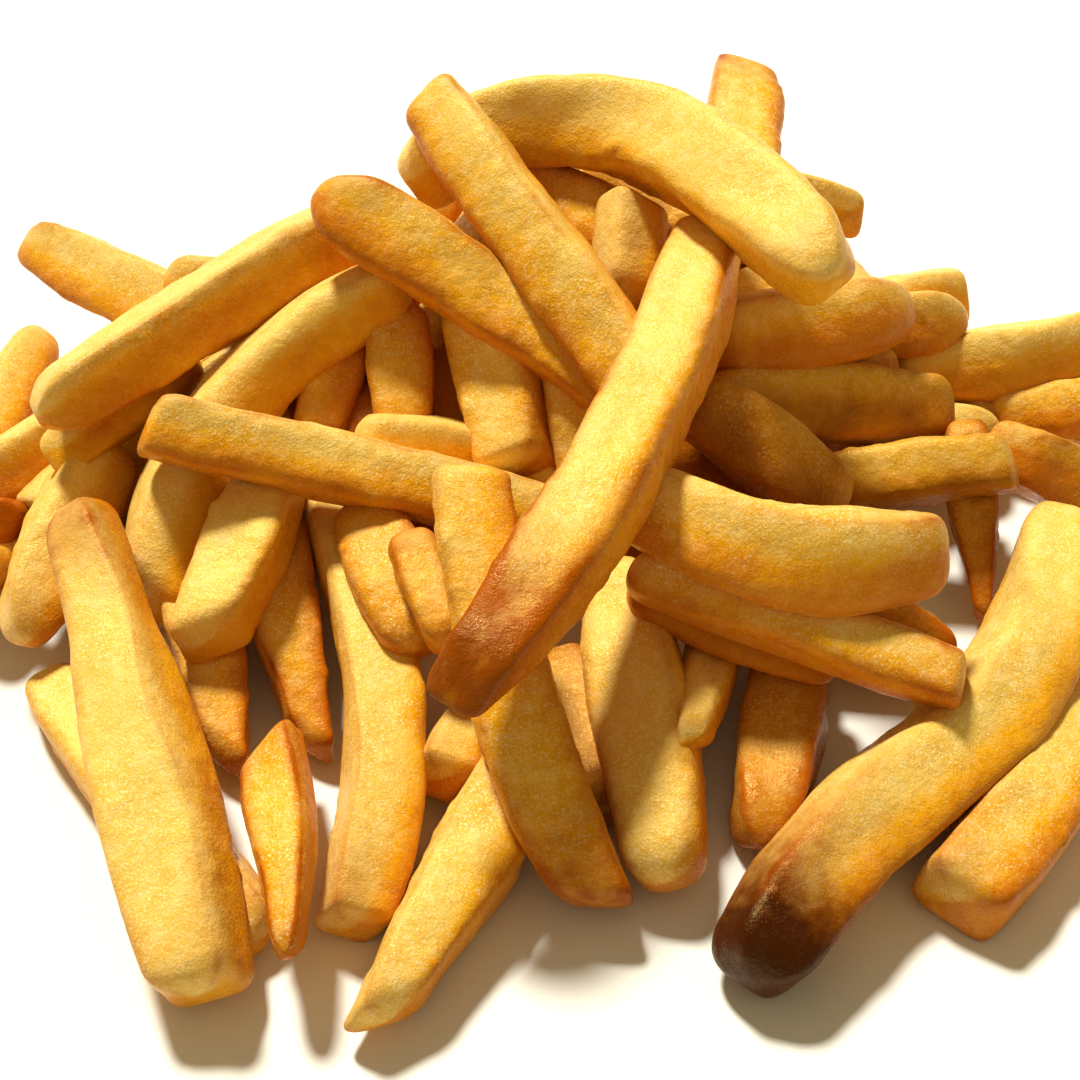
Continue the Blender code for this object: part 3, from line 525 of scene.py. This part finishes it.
def back_fries(fries, ends):
    """Fries dropped behind the heap: each rests on two supports, one each side of its middle.

    Places are drawn by a seeded rule. A fry that would show over the skyline is
    pressed down a little, and a place is passed over where that isn't enough or
    the fry would stand too steep.
    """
    draw = np.random.default_rng(BACK_SEED)
    t = np.linspace(0.0, 1.0, STEPS)
    points = np.vstack([centre_line(fry, end, STEPS) for fry, end in zip(fries, ends)])
    reaches = np.repeat([0.25 * (fry.width + fry.depth) for fry in fries], STEPS)
    added, added_ends = [], []
    for _ in range(BACK_TRIES):
        side = draw.uniform(-1, 1)
        x = BACK_REACH[0] * side
        y = BACK_REACH[1] * (1 - BACK_NARROWING * abs(side)) * draw.uniform(*BACK_DEPTH)
        heading = draw.uniform(0, math.pi)
        length, width = draw.uniform(*HIDDEN_LENGTH), draw.uniform(*HIDDEN_WIDTH)
        depth, roll = width * draw.uniform(*HIDDEN_FLATTENING), draw.uniform(*HIDDEN_ROLL)
        reach = 0.25 * (width + depth)
        along = (math.cos(heading), math.sin(heading), 0.0)
        plan = np.array([x, y, 0.0]) + length * (t - 0.5)[:, None] * along
        need = np.maximum(reach - FLOOR_PRESS, core_top(plan) + PRESS * reach)
        gap = np.linalg.norm(plan[:, None, :2] - points[None, :, :2], axis=2)
        apart = PRESS * (reach + reaches)
        over = points[:, 2] + np.sqrt(np.clip(apart**2 - gap**2, 0, None))
        need = np.maximum(need, np.where(gap < apart, over, 0).max(axis=1))
        start, end = rest_on(t, need)
        plan[:, 2] = start + (end - start) * t
        over = over_skyline(np.array([seen(point) for point in plan]), BACK_EDGE)
        sink = BACK_SINK_SHARE * max(over, 0.0)
        lowest = reach - FLOOR_PRESS
        start, end = max(start - sink, lowest), max(end - sink, lowest)
        plan[:, 2] = start + (end - start) * t
        sight = np.array([seen(point) for point in plan])
        shows = over_skyline(sight, BACK_EDGE) > BACK_SHOWN or plan[:, 1].min() < BACK_FRONT
        if shows or sink > BACK_SINK or abs(end - start) > BACK_STEEPEST * length:
            continue
        fry = Fry(
            f"behind {len(added) + 1}",
            (*sight[0], start),
            (*sight[-1], end),
            width,
            depth,
            roll=roll,
            cuts=("round", "square"),
            inside=True,
        )
        added.append(fry)
        added_ends.append((start, end))
        points = np.vstack([points, plan])
        reaches = np.append(reaches, np.full(STEPS, reach))
        if len(added) == BACK_FRIES:
            break
    return fries + added, np.vstack([ends, added_ends])


def centre_line(fry, ends, steps):
    """The fry's centre line in the room, its points spread evenly from end to end."""
    t, plane = sight_line(fry, steps)
    return at_height(plane, ends[0] + (ends[1] - ends[0]) * t)


def ripple(points, size, draw, waves=9):
    """Uneven swells of about one size: the mean of sine waves that run all ways, from -1 to 1.

    Each wave is the sine of the distance along its own direction over its own
    length, plus a phase.
    """
    way = draw.normal(size=(3, waves))
    way /= np.linalg.norm(way, axis=0)
    number = 2 * math.pi / (size * draw.uniform(*WAVE_LENGTHS, waves))
    phase = draw.uniform(0, 2 * math.pi, waves)
    return np.sin(points @ (way * number) + phase).sum(axis=-1) * (WAVE_GAIN / waves)


def smooth(value):
    """0 below 0, 1 above 1 and an even S between: three squares less two cubes."""
    v = np.clip(value, 0, 1)
    return v * v * (3 - 2 * v)


def skin(fry, ends, fineness, draw):
    """The skin of a fry as a grid of places, with the frying colour and painted light of each place.

    Along the fry the rings stand evenly, and over each cut end they close in on
    its middle: a ring of share r lies as far from the tip as a rounded corner of
    the cut's power is deep there. Around the fry each ring is a rounded square,
    whose two half sides to a power add up to one. Its faces are hollowed a little
    by the cosine of four times the angle, it turns and thins slowly along the
    fry, and ripples of three sizes swell and dent it.
    """
    rings, around, over_end = fineness
    fine = centre_line(fry, ends, STEPS * 3)
    run = np.concatenate([[0], np.cumsum(np.linalg.norm(np.diff(fine, axis=0), axis=1))])
    length = run[-1]
    half = 0.5 * np.array([fry.width, fry.depth])
    small = half.min()
    cuts = [CUTS[cut] for cut in fry.cuts]

    # Rings: how far along the fry, and what share of the full section
    share = np.sin(0.5 * math.pi * np.linspace(0, 1, over_end + 1))
    share[0] = 0.0
    inset = [cut.depth * small * (1 - (1 - share**cut.power) ** (1 / cut.power)) for cut in cuts]
    middle = np.linspace(inset[0][-1], length - inset[1][-1], rings)[1:-1]
    along = np.concatenate([inset[0], middle, length - inset[1][::-1]])
    closing = np.concatenate([share, np.ones(len(middle)), share[::-1]])
    line = along[:, None] * np.ones(3)

    # Section: a rounded square, hollowed, turned and thinned along the way
    even = 2 * math.pi * np.arange(around) / around
    angle = even + EDGE_CROWD / 4 * np.sin(4 * even)
    power = draw.uniform(*SQUARENESS)
    cos, sin = np.cos(angle), np.sin(angle)
    radius = (np.abs(cos) ** power + np.abs(sin) ** power) ** (-1 / power)
    sides = [draw.uniform(*HOLLOW) * (1 + ripple(line, HOLLOW_RUN, draw, SLOW_WAVES)) for _ in range(4)]
    hollow = np.stack(sides, axis=1)
    faces = np.clip(np.stack([cos, sin, -cos, -sin], axis=1), 0, 1) ** FACE_POWER
    radius = radius * (1 - (hollow @ faces.T) * closing[:, None] ** 4)
    across = closing[:, None] * radius * cos
    out = closing[:, None] * radius * sin
    across, out = across * (1 + draw.uniform(*TRAPEZE) * out), out + draw.uniform(*SHEAR) * across
    far = [along[:, None], (length - along)[:, None]]
    wide, deep, lean, aside = np.ones((len(along), 1)), np.ones((len(along), 1)), 0.0, 0.0
    for cut, gone in zip(cuts, far):
        near_end = 1 - smooth(gone / (cut.run * 2 * small))
        wide = wide * (1 - (1 - cut.narrow[0]) * near_end**NARROW_POWER)
        deep = deep * (1 - (1 - cut.narrow[1]) * near_end**NARROW_POWER)
        sign = 1 if gone is far[0] else -1
        lean = lean + sign * near_end * (cut.slant * SLANT * out * half[1] - cut.aside * across * half[0])
        aside = aside + TIP_SHIFT * cut.aside * (1 - cut.narrow[0]) * near_end * half[0]
    wide = wide * (1 + UNEVEN * ripple(line, UNEVEN_RUN[0], draw, SLOW_WAVES)[:, None])
    deep = deep * (1 + UNEVEN * ripple(line, UNEVEN_RUN[1], draw, SLOW_WAVES)[:, None])
    x, y = across * half[0] * wide + aside * closing[:, None], out * half[1] * deep
    z = along[:, None] + lean

    # Relief: slow swells, dents, and blisters where the skin puffed up
    place = np.stack([x, y, np.broadcast_to(z, x.shape)], axis=-1)
    swell = SWELLS[0] * ripple(place, SWELL_SIZES[0], draw) + SWELLS[1] * ripple(place, SWELL_SIZES[1], draw)
    blister = np.clip(ripple(place, BLISTER_SIZE, draw, FINE_WAVES) - BLISTER_FLOOR, 0, None)
    rough = smooth(0.5 + ROUGH_STEEPNESS * ripple(place, ROUGH_SIZE, draw))
    swell = swell + BLISTER * blister * rough + SWELLS[2] * ripple(place, SWELL_SIZES[2], draw, FINE_WAVES)
    grow = 1 + swell / small
    x, y = x * grow, y * grow
    outwards = np.where(along < 0.5 * length, -1, 1)[:, None]
    z = z + SWELL_AT_END * swell * (1 - closing[:, None]) * outwards

    # Carry the sections along the centre line
    at = np.clip(z, 0, length)
    middle_at = np.stack([np.interp(at, run, fine[:, k]) for k in range(3)], axis=-1)
    ahead = np.gradient(fine, run, axis=0)
    ahead = np.stack([np.interp(at, run, ahead[:, k]) for k in range(3)], axis=-1)
    ahead /= np.linalg.norm(ahead, axis=-1, keepdims=True)
    side = np.cross(ahead, EYE - fine[len(fine) // 2])
    side /= np.linalg.norm(side, axis=-1, keepdims=True)
    face = np.cross(side, ahead)
    twist = math.radians(fry.roll) + TURN * ripple(z[..., None] * np.ones(3), TURN_RUN, draw, SLOW_WAVES)
    cos_t, sin_t = np.cos(twist)[..., None], np.sin(twist)[..., None]
    across_way = side * cos_t + face * sin_t
    out_way = face * cos_t - side * sin_t
    points = middle_at + x[..., None] * across_way + y[..., None] * out_way + (z - at)[..., None] * ahead
    points[..., 2] = np.maximum(points[..., 2], OVER_TABLE)

    # Frying colour and painted light: tone, browning of ends and edges, char, and how much each place faces
    # the key light. The tone is painted paler on the side that faces the light and deeper, as painted shade,
    # on the side away from it.
    corner = (1 - np.abs(np.cos(2 * angle)))[None, :] ** EDGE_POWER
    patchy = ripple(place, PATCH_SIZE, draw)
    speckle = ripple(place, SPECKLE_SIZE, draw, FINE_WAVES)
    outward = x[..., None] * across_way + y[..., None] * out_way
    outward /= np.linalg.norm(outward, axis=-1, keepdims=True) + TINY
    facing_light = smooth(LIT_START + LIT_STEEPNESS * (outward @ LIT_SIDE))
    tone = fry.tone + PATCH_TONE * patchy + SPECKLE_TONE * speckle + LIT_PALING * (0.5 - facing_light)
    brown = EDGE_BROWN * fry.browned[2] * corner * (0.7 + 0.5 * patchy) * closing[:, None]
    char = np.zeros_like(brown)
    for gone, strength, burnt in zip(far, fry.browned, fry.charred):
        browned_over = BROWN_REACH * small * (0.6 + 1.2 * strength)
        nearness = np.exp(-((gone / browned_over) ** 2) * (1 + 0.5 * patchy))
        brown = brown + strength * nearness * (0.85 + 0.25 * speckle)
        burnt_over = BURNT_REACH * small * (0.4 + burnt)
        rim = np.exp(-((gone / burnt_over) ** 2) * (1 + 0.3 * patchy))
        char = char + burnt * rim * (0.9 + 0.2 * speckle)
    cooking_and_painted_light = np.stack([tone, brown, char, facing_light], axis=-1)
    return points, np.clip(cooking_and_painted_light, 0, 1)


def grid_faces(rows, columns):
    """The four corners of every face between neighbouring rings, each ring closed on itself."""
    row, column = np.meshgrid(np.arange(rows - 1), np.arange(columns), indexing="ij")
    after = (column + 1) % columns
    quads = np.stack(
        [
            row * columns + column,
            row * columns + after,
            (row + 1) * columns + after,
            (row + 1) * columns + column,
        ],
        axis=-1,
    )
    return quads.reshape(-1, 4)


def closed_skin(points, cooking_and_painted_light):
    """A grid of rings as corners, faces and map places: each end ring is one corner, fanned out."""
    rows, columns = points.shape[:2]
    ring_points = points[1:-1].reshape(-1, 3)
    tips = np.stack([points[0].mean(axis=0), points[-1].mean(axis=0)])
    ring_cooking_and_painted_light = cooking_and_painted_light[1:-1].reshape(-1, 4)
    tip_cooking_and_painted_light = np.stack([cooking_and_painted_light[0].mean(axis=0), cooking_and_painted_light[-1].mean(axis=0)])
    count = len(ring_points)
    quads = grid_faces(rows - 2, columns)
    k = np.arange(columns)
    after = (k + 1) % columns
    last = (rows - 3) * columns
    first_fan = np.stack([np.full(columns, count), after, k], axis=-1)
    last_fan = np.stack([np.full(columns, count + 1), last + k, last + after], axis=-1)
    row_of = np.repeat(np.arange(rows - 3), columns)
    left, right = np.tile(k, rows - 3), np.tile(k + 1, rows - 3)
    quad_map = np.stack(
        [
            np.stack([left, row_of + 1], -1),
            np.stack([right, row_of + 1], -1),
            np.stack([right, row_of + 2], -1),
            np.stack([left, row_of + 2], -1),
        ],
        axis=1,
    )
    first_map = np.stack(
        [
            np.stack([k + 0.5, 0 * k], -1),
            np.stack([k + 1, 0 * k + 1], -1),
            np.stack([k, 0 * k + 1], -1),
        ],
        axis=1,
    )
    end = rows - 1
    last_map = np.stack(
        [
            np.stack([k + 0.5, 0 * k + end], -1),
            np.stack([k, 0 * k + end - 1], -1),
            np.stack([k + 1, 0 * k + end - 1], -1),
        ],
        axis=1,
    )
    size = np.array([columns, end], float)
    maps = [part.reshape(-1, 2) / size for part in (quad_map, first_map, last_map)]
    corners = np.vstack([ring_points, tips])
    shades = np.vstack([ring_cooking_and_painted_light, tip_cooking_and_painted_light])
    return corners, shades, (quads, np.vstack([first_fan, last_fan])), (maps[0], np.vstack(maps[1:]))


def fry_piece(name, fries, material, seed, fineness):
    """One piece of many fries: their skins side by side, each with its own cell of the map."""
    columns = math.ceil(math.sqrt(len(fries) * CELL_SHAPE))
    rows = math.ceil(len(fries) / columns)
    corners, shades, quads, fans, quad_maps, fan_maps = [], [], [], [], [], []
    first = 0
    for n, (fry, ends) in enumerate(fries):
        draw = np.random.default_rng([seed, n])
        points, cooking_and_painted_light = skin(fry, ends, fineness, draw)
        at, shade, faces, maps = closed_skin(points, cooking_and_painted_light)
        cell = np.array([n % columns, n // columns], float)
        fit = [(cell + CELL_EDGE + (1 - 2 * CELL_EDGE) * m) / (columns, rows) for m in maps]
        corners.append(at)
        shades.append(shade)
        quads.append(faces[0] + first)
        fans.append(faces[1] + first)
        quad_maps.append(fit[0])
        fan_maps.append(fit[1])
        first += len(at)
    corners, shades = np.vstack(corners), np.vstack(shades)
    return mesh_piece(
        name,
        (corners - HEAP_MIDDLE) * MM,
        (np.vstack(quads), np.vstack(fans)),
        np.vstack(quad_maps + fan_maps),
        shades,
        material,
    )


def mesh_piece(name, corners, faces, places, shades, material):
    """An object at the origin from arrays of corners, four-sided and three-sided faces and map places."""
    mesh = bpy.data.meshes.new(name)
    loops = np.concatenate([f.reshape(-1) for f in faces])
    sizes = np.concatenate([np.full(len(f), f.shape[1]) for f in faces])
    mesh.vertices.add(len(corners))
    mesh.vertices.foreach_set("co", corners.astype(np.float32).reshape(-1))
    mesh.loops.add(len(loops))
    mesh.loops.foreach_set("vertex_index", loops.astype(np.int32))
    mesh.polygons.add(len(sizes))
    starts = np.concatenate([[0], np.cumsum(sizes)[:-1]])
    mesh.polygons.foreach_set("loop_start", starts.astype(np.int32))
    mesh.update(calc_edges=True)
    layer = mesh.uv_layers.new(name="OFBake")
    layer.data.foreach_set("uv", places.astype(np.float32).reshape(-1))
    cooking_and_light_layer = mesh.attributes.new("cooking_and_painted_light", "FLOAT_COLOR", "POINT")
    cooking_and_light_layer.data.foreach_set("color", shades.astype(np.float32).reshape(-1))
    mesh.validate()
    mesh.shade_smooth()
    mesh.materials.append(material)
    piece = bpy.data.objects.new(name, mesh)
    bpy.context.scene.collection.objects.link(piece)
    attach(piece, "root")
    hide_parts("fries")
    return piece


def core_piece(name, material):
    """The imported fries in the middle, as a lumpy half ellipsoid with a flat bottom.

    A place is the middle plus the reach times the cosines and sines of its bearing
    and slope, swollen by ripples. What would lie below the table is flattened to it.
    """
    rows, columns = CORE_GRID
    draw = np.random.default_rng(CORE_SEED)
    slope = np.linspace(0.5 * math.pi, CORE_LOWEST_SLOPE, rows)[:, None]
    bearing = 2 * math.pi * np.arange(columns)[None, :] / columns
    flat = np.cos(slope)
    unit = np.stack([flat * np.cos(bearing), flat * np.sin(bearing), np.sin(slope) + 0 * bearing], axis=-1)
    reach = np.array([CORE_REACH[0], CORE_REACH[1], CORE_HEIGHT])
    points = unit * reach
    points = points * (1 + CORE_LUMPS * ripple(points, CORE_LUMP_SIZE, draw)[..., None])
    points[..., :2] += CORE_MIDDLE
    points[..., 2] = np.maximum(points[..., 2], OVER_TABLE)
    # Deep tone and browning: packed fries' colour with painted shade for the gaps between the fries
    cooking_and_painted_light = np.zeros((rows, columns, 4))
    cooking_and_painted_light[..., 0] = CORE_TONE_AND_SHADE
    cooking_and_painted_light[..., 1] = CORE_BROWN_AND_SHADE
    corners, shades, faces, maps = closed_skin(points[:, ::-1], cooking_and_painted_light)
    return mesh_piece(name, (corners - HEAP_MIDDLE) * MM, faces, np.vstack(maps), shades, material)


def node(tree, kind, values=(), links=(), **settings):
    """A shader node with its settings, its own values and the sockets that feed it."""
    made = tree.nodes.new(kind)
    for key, value in settings.items():
        setattr(made, key, value)
    for key, value in dict(values).items():
        made.inputs[key].default_value = value
    for key, source in dict(links).items():
        tree.links.new(source, made.inputs[key])
    return made


def blend(tree, factor, one, two):
    """A mix of two colours by a factor; each is a socket or a colour."""
    made = tree.nodes.new("ShaderNodeMix")
    made.data_type = "RGBA"
    for socket, value in ((made.inputs[0], factor), (made.inputs[6], one), (made.inputs[7], two)):
        if isinstance(value, (float, int, tuple)):
            socket.default_value = value
        else:
            tree.links.new(value, socket)
    return made.outputs[2]


def ramp(tree, source, stops):
    """A colour ramp fed by a socket, from pairs of place and colour."""
    made = tree.nodes.new("ShaderNodeValToRGB")
    tree.links.new(source, made.inputs[0])
    bar = made.color_ramp
    while len(bar.elements) < len(stops):
        bar.elements.new(0.5)
    for element, (place, colour) in zip(bar.elements, stops):
        element.position = place
        element.color = colour if len(colour) == 4 else (*colour, 1.0)
    return made.outputs[0]


def maths(tree, kind, *values):
    """A Math node on sockets and numbers."""
    made = tree.nodes.new("ShaderNodeMath")
    made.operation = kind
    for socket, value in zip(made.inputs, values):
        if isinstance(value, (float, int)):
            socket.default_value = value
        else:
            tree.links.new(value, socket)
    return made.outputs[0]


def noise(tree, place, size, detail, roughness):
    """A noise value whose lumps are about one size, in millimetres."""
    return node(
        tree,
        "ShaderNodeTexNoise",
        {"Scale": 1.0 / (size * MM), "Detail": detail, "Roughness": roughness},
        {"Vector": place},
    ).outputs[0]


def fried_skin(name, pale, golden, amber, grain=1.0):
    """Fried potato skin.

    The tone of each place runs from pale over golden to amber, with painted shade
    on the side away from the key light. Ends and edges go over to brown and then
    char, mottled by noise. A pale frost lightens the skin in a cloudy haze, in fine
    specks and in strewn glints, mostly on the side that faces the key light: the haze
    and specks are partly the skin's own starch and partly painted light, and the
    glints are painted highlights. Oil makes the skin glossier between the clouds, a
    faint orange sheen stands for the light that comes through its edges, and grain
    and mottling roughen it.
    """
    material = bpy.data.materials.new(name)
    material.use_nodes = True
    tree = material.node_tree
    shader = tree.nodes["Principled BSDF"]
    place = node(tree, "ShaderNodeTexCoord").outputs["Object"]
    cooking_and_painted_light = node(tree, "ShaderNodeAttribute", attribute_name="cooking_and_painted_light")
    parts = node(tree, "ShaderNodeSeparateColor", links={"Color": cooking_and_painted_light.outputs["Color"]})
    tone, brown, char = parts.outputs[0], parts.outputs[1], parts.outputs[2]

    patches = noise(tree, place, PATCHES, 3.0, 0.6)
    mottle = noise(tree, place, MOTTLING, 4.0, 0.62)
    cloud = noise(tree, place, CLOUDS, 5.0, 0.68)
    frost = noise(tree, place, FROSTING, 2.0, 0.6)

    for uneven, change in ((patches, PATCH_CHANGE), (mottle, MOTTLE_CHANGE)):
        shift = maths(tree, "MULTIPLY", maths(tree, "SUBTRACT", uneven, 0.5), change)
        tone = maths(tree, "ADD", tone, shift)
    base = ramp(tree, tone, [(0.0, pale), (0.5, golden), (1.0, amber)])
    # How much a place faces the key light, from the fourth channel: the mask of the painted light
    facing_light = maths(tree, "MULTIPLY_ADD", cooking_and_painted_light.outputs["Alpha"], 0.82, 0.18)
    # Pale frost in haze and specks, strongest where a place faces the key light: the skin's own starch and
    # painted light together
    haze = ramp(tree, cloud, [(0.48, (0, 0, 0)), (0.66, (0.34 * grain,) * 3)])
    base = blend(tree, maths(tree, "MULTIPLY", haze, facing_light), base, FROST_AND_GLINT)
    specks = ramp(tree, frost, [(0.52, (0, 0, 0)), (0.63, (0.62 * grain,) * 3)])
    base = blend(tree, maths(tree, "MULTIPLY", specks, facing_light), base, FROST_AND_GLINT)
    # Painted highlights: glints strewn in patches, mostly on the side that faces the key light
    glint_cells = node(tree, "ShaderNodeTexVoronoi", {"Scale": 1.0 / (GLINT_SPACING * MM)}, {"Vector": place})
    glint = ramp(tree, glint_cells.outputs["Distance"], [(0.18, (grain,) * 3), (0.30, (0, 0, 0))])
    strewn = ramp(tree, patches, [(0.42, (0.10,) * 3), (0.62, (1, 1, 1))])
    strewn = maths(tree, "MULTIPLY", strewn, facing_light)
    base = blend(tree, maths(tree, "MULTIPLY", glint, strewn), base, FROST_AND_GLINT)
    brown = maths(tree, "MULTIPLY", brown, maths(tree, "ADD", maths(tree, "MULTIPLY", mottle, 0.8), 0.6))
    base = blend(tree, ramp(tree, brown, [(0.05, (0, 0, 0)), (0.82, (1, 1, 1))]), base, BROWN)
    char = maths(tree, "MULTIPLY", char, maths(tree, "ADD", maths(tree, "MULTIPLY", mottle, 0.5), 0.8))
    base = blend(tree, ramp(tree, char, [(0.10, (0, 0, 0)), (0.78, (1, 1, 1))]), base, CHAR)
    tree.links.new(base, shader.inputs["Base Color"])

    rough = ramp(tree, cloud, [(0.38, (0.24,) * 3), (0.62, (0.50,) * 3)])
    tree.links.new(rough, shader.inputs["Roughness"])
    shader.inputs["IOR"].default_value = SKIN_IOR
    shader.inputs["Specular IOR Level"].default_value = SKIN_GLOSS
    shader.inputs["Specular Tint"].default_value = OILY
    shader.inputs["Sheen Weight"].default_value = SHEEN
    shader.inputs["Sheen Roughness"].default_value = SHEEN_ROUGHNESS
    shader.inputs["Sheen Tint"].default_value = GLOW

    grit = {"Strength": 0.8 * grain, "Distance": GRAIN_HEIGHT * MM}
    fine = node(tree, "ShaderNodeBump", grit, {"Height": frost}).outputs[0]
    dimples = {"Strength": 0.5, "Distance": MOTTLE_HEIGHT * MM}
    coarse = node(tree, "ShaderNodeBump", dimples, {"Height": mottle, "Normal": fine}).outputs[0]
    tree.links.new(coarse, shader.inputs["Normal"])
    return material


# Grain of the skin: how large its patches, mottling, clouds, frosting and painted glints are
PATCHES = 7.0
MOTTLING = 1.6
CLOUDS = 2.3
FROSTING = 0.26
GLINT_SPACING = 0.62
PATCH_CHANGE = 0.7
MOTTLE_CHANGE = 0.45
GRAIN_HEIGHT = 0.1
MOTTLE_HEIGHT = 0.5

# Gloss of the skin
SKIN_IOR = 1.45
SKIN_GLOSS = 0.36
SHEEN = 0.12
SHEEN_ROUGHNESS = 0.35

# Colours of fried potato
PALE = (0.88, 0.57, 0.10, 1.0)
GOLDEN = (0.84, 0.40, 0.002, 1.0)
AMBER = (0.66, 0.21, 0.0005, 1.0)
BROWN = (0.40, 0.085, 0.0005, 1.0)
CHAR = (0.045, 0.007, 0.0004, 1.0)
# Pale frost of the skin, also the colour of the painted glints of highlight
FROST_AND_GLINT = (1.0, 0.85, 0.40, 1.0)
OILY = (1.0, 0.72, 0.26, 1.0)
GLOW = (1.0, 0.42, 0.02, 1.0)
# Darker copies of the fry colours for the browned skin: partly the fries' own deeper browning, partly
# painted shade for fries that lie in shade
BROWNED_SHADED_PALE = (0.70, 0.37, 0.02, 1.0)
BROWNED_SHADED_GOLDEN = (0.54, 0.22, 0.002, 1.0)
BROWNED_SHADED_AMBER = (0.30, 0.09, 0.001, 1.0)
TABLE = (0.90, 0.90, 0.89, 1.0)
TABLE_HALF = 1.6

# The key light and the room's own light
KEY_ENERGY = 4.8
KEY_SPREAD = math.radians(9)
KEY_COLOUR = (1.0, 0.95, 0.80)
KEY_TURN = (math.radians(-30), math.radians(-17), 0)
ROOM_COLOUR = (1.0, 0.78, 0.42, 1.0)
ROOM_LIGHT = 0.32


def floor():
    """A plain pale table top."""
    half = TABLE_HALF
    corners = [(-half, -half, 0), (half, -half, 0), (half, half, 0), (-half, half, 0)]
    mesh = bpy.data.meshes.new("table")
    mesh.from_pydata(corners, [], [(0, 1, 2, 3)])
    made = bpy.data.objects.new("table", mesh)
    bpy.context.scene.collection.objects.link(made)
    material = bpy.data.materials.new("pale table")
    material.use_nodes = True
    shader = material.node_tree.nodes["Principled BSDF"]
    shader.inputs["Base Color"].default_value = TABLE
    shader.inputs["Roughness"].default_value = 0.9
    mesh.materials.append(material)


def lights():
    """A warm key from above and behind, a little from the left, and a warm dim room."""
    key = bpy.data.lights.new("key", "SUN")
    key.energy = KEY_ENERGY
    key.angle = KEY_SPREAD
    key.color = KEY_COLOUR
    lamp = bpy.data.objects.new("key", key)
    lamp.rotation_euler = KEY_TURN
    bpy.context.scene.collection.objects.link(lamp)
    world = bpy.data.worlds.new("room")
    world.use_nodes = True
    back = world.node_tree.nodes["Background"]
    back.inputs[0].default_value = ROOM_COLOUR
    back.inputs[1].default_value = ROOM_LIGHT
    bpy.context.scene.world = world


def camera():
    """The eye in front of the heap."""
    data = bpy.data.cameras.new("eye")
    data.sensor_width = SENSOR
    data.lens = SENSOR * SIGHT_PLANE / (2 * SIGHT_HALF)
    data.clip_start = NEAREST * MM
    made = bpy.data.objects.new("eye", data)
    made.location = (EYE - HEAP_MIDDLE) * MM
    made.rotation_euler = (0.5 * math.pi - SIGHT_PITCH, 0, 0)
    bpy.context.scene.collection.objects.link(made)
    bpy.context.scene.camera = made


def main():
    """Load the frame, lay the fries over it, and light them."""
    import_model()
    fries = hidden_fries() + SHOWN
    fries, ends = back_fries(fries, settle(fries))
    laid = list(zip(fries, ends))

    skins = {
        "pale": fried_skin("pale fried potato", PALE, GOLDEN, AMBER),
        "golden": fried_skin("golden fried potato", PALE, GOLDEN, AMBER),
        "amber": fried_skin("amber fried potato", PALE, GOLDEN, AMBER, grain=0.8),
        # The browned skin: deeper browning and painted shade, for fries that lie in shade and for the core
        "browned": fried_skin("browned and shaded fried potato", BROWNED_SHADED_PALE, BROWNED_SHADED_GOLDEN, BROWNED_SHADED_AMBER, grain=0.5),
    }
    for seed, (kind, material) in enumerate(skins.items()):
        chosen = [(fry, end) for fry, end in laid if fry.kind == kind and not fry.inside]
        fry_piece(f"{kind}_fries", chosen, material, seed + 1, FINE)
    inner = [(fry, end) for fry, end in laid if fry.inside]
    fry_piece("inner_fries", inner, skins["golden"], INNER_SEED, PLAIN)
    # The core in the browned skin: painted shade in the gaps between the fries
    core_piece("packed_middle", skins["browned"])

    floor()
    lights()
    camera()
    bpy.context.scene.view_settings.view_transform = "Standard"


main()
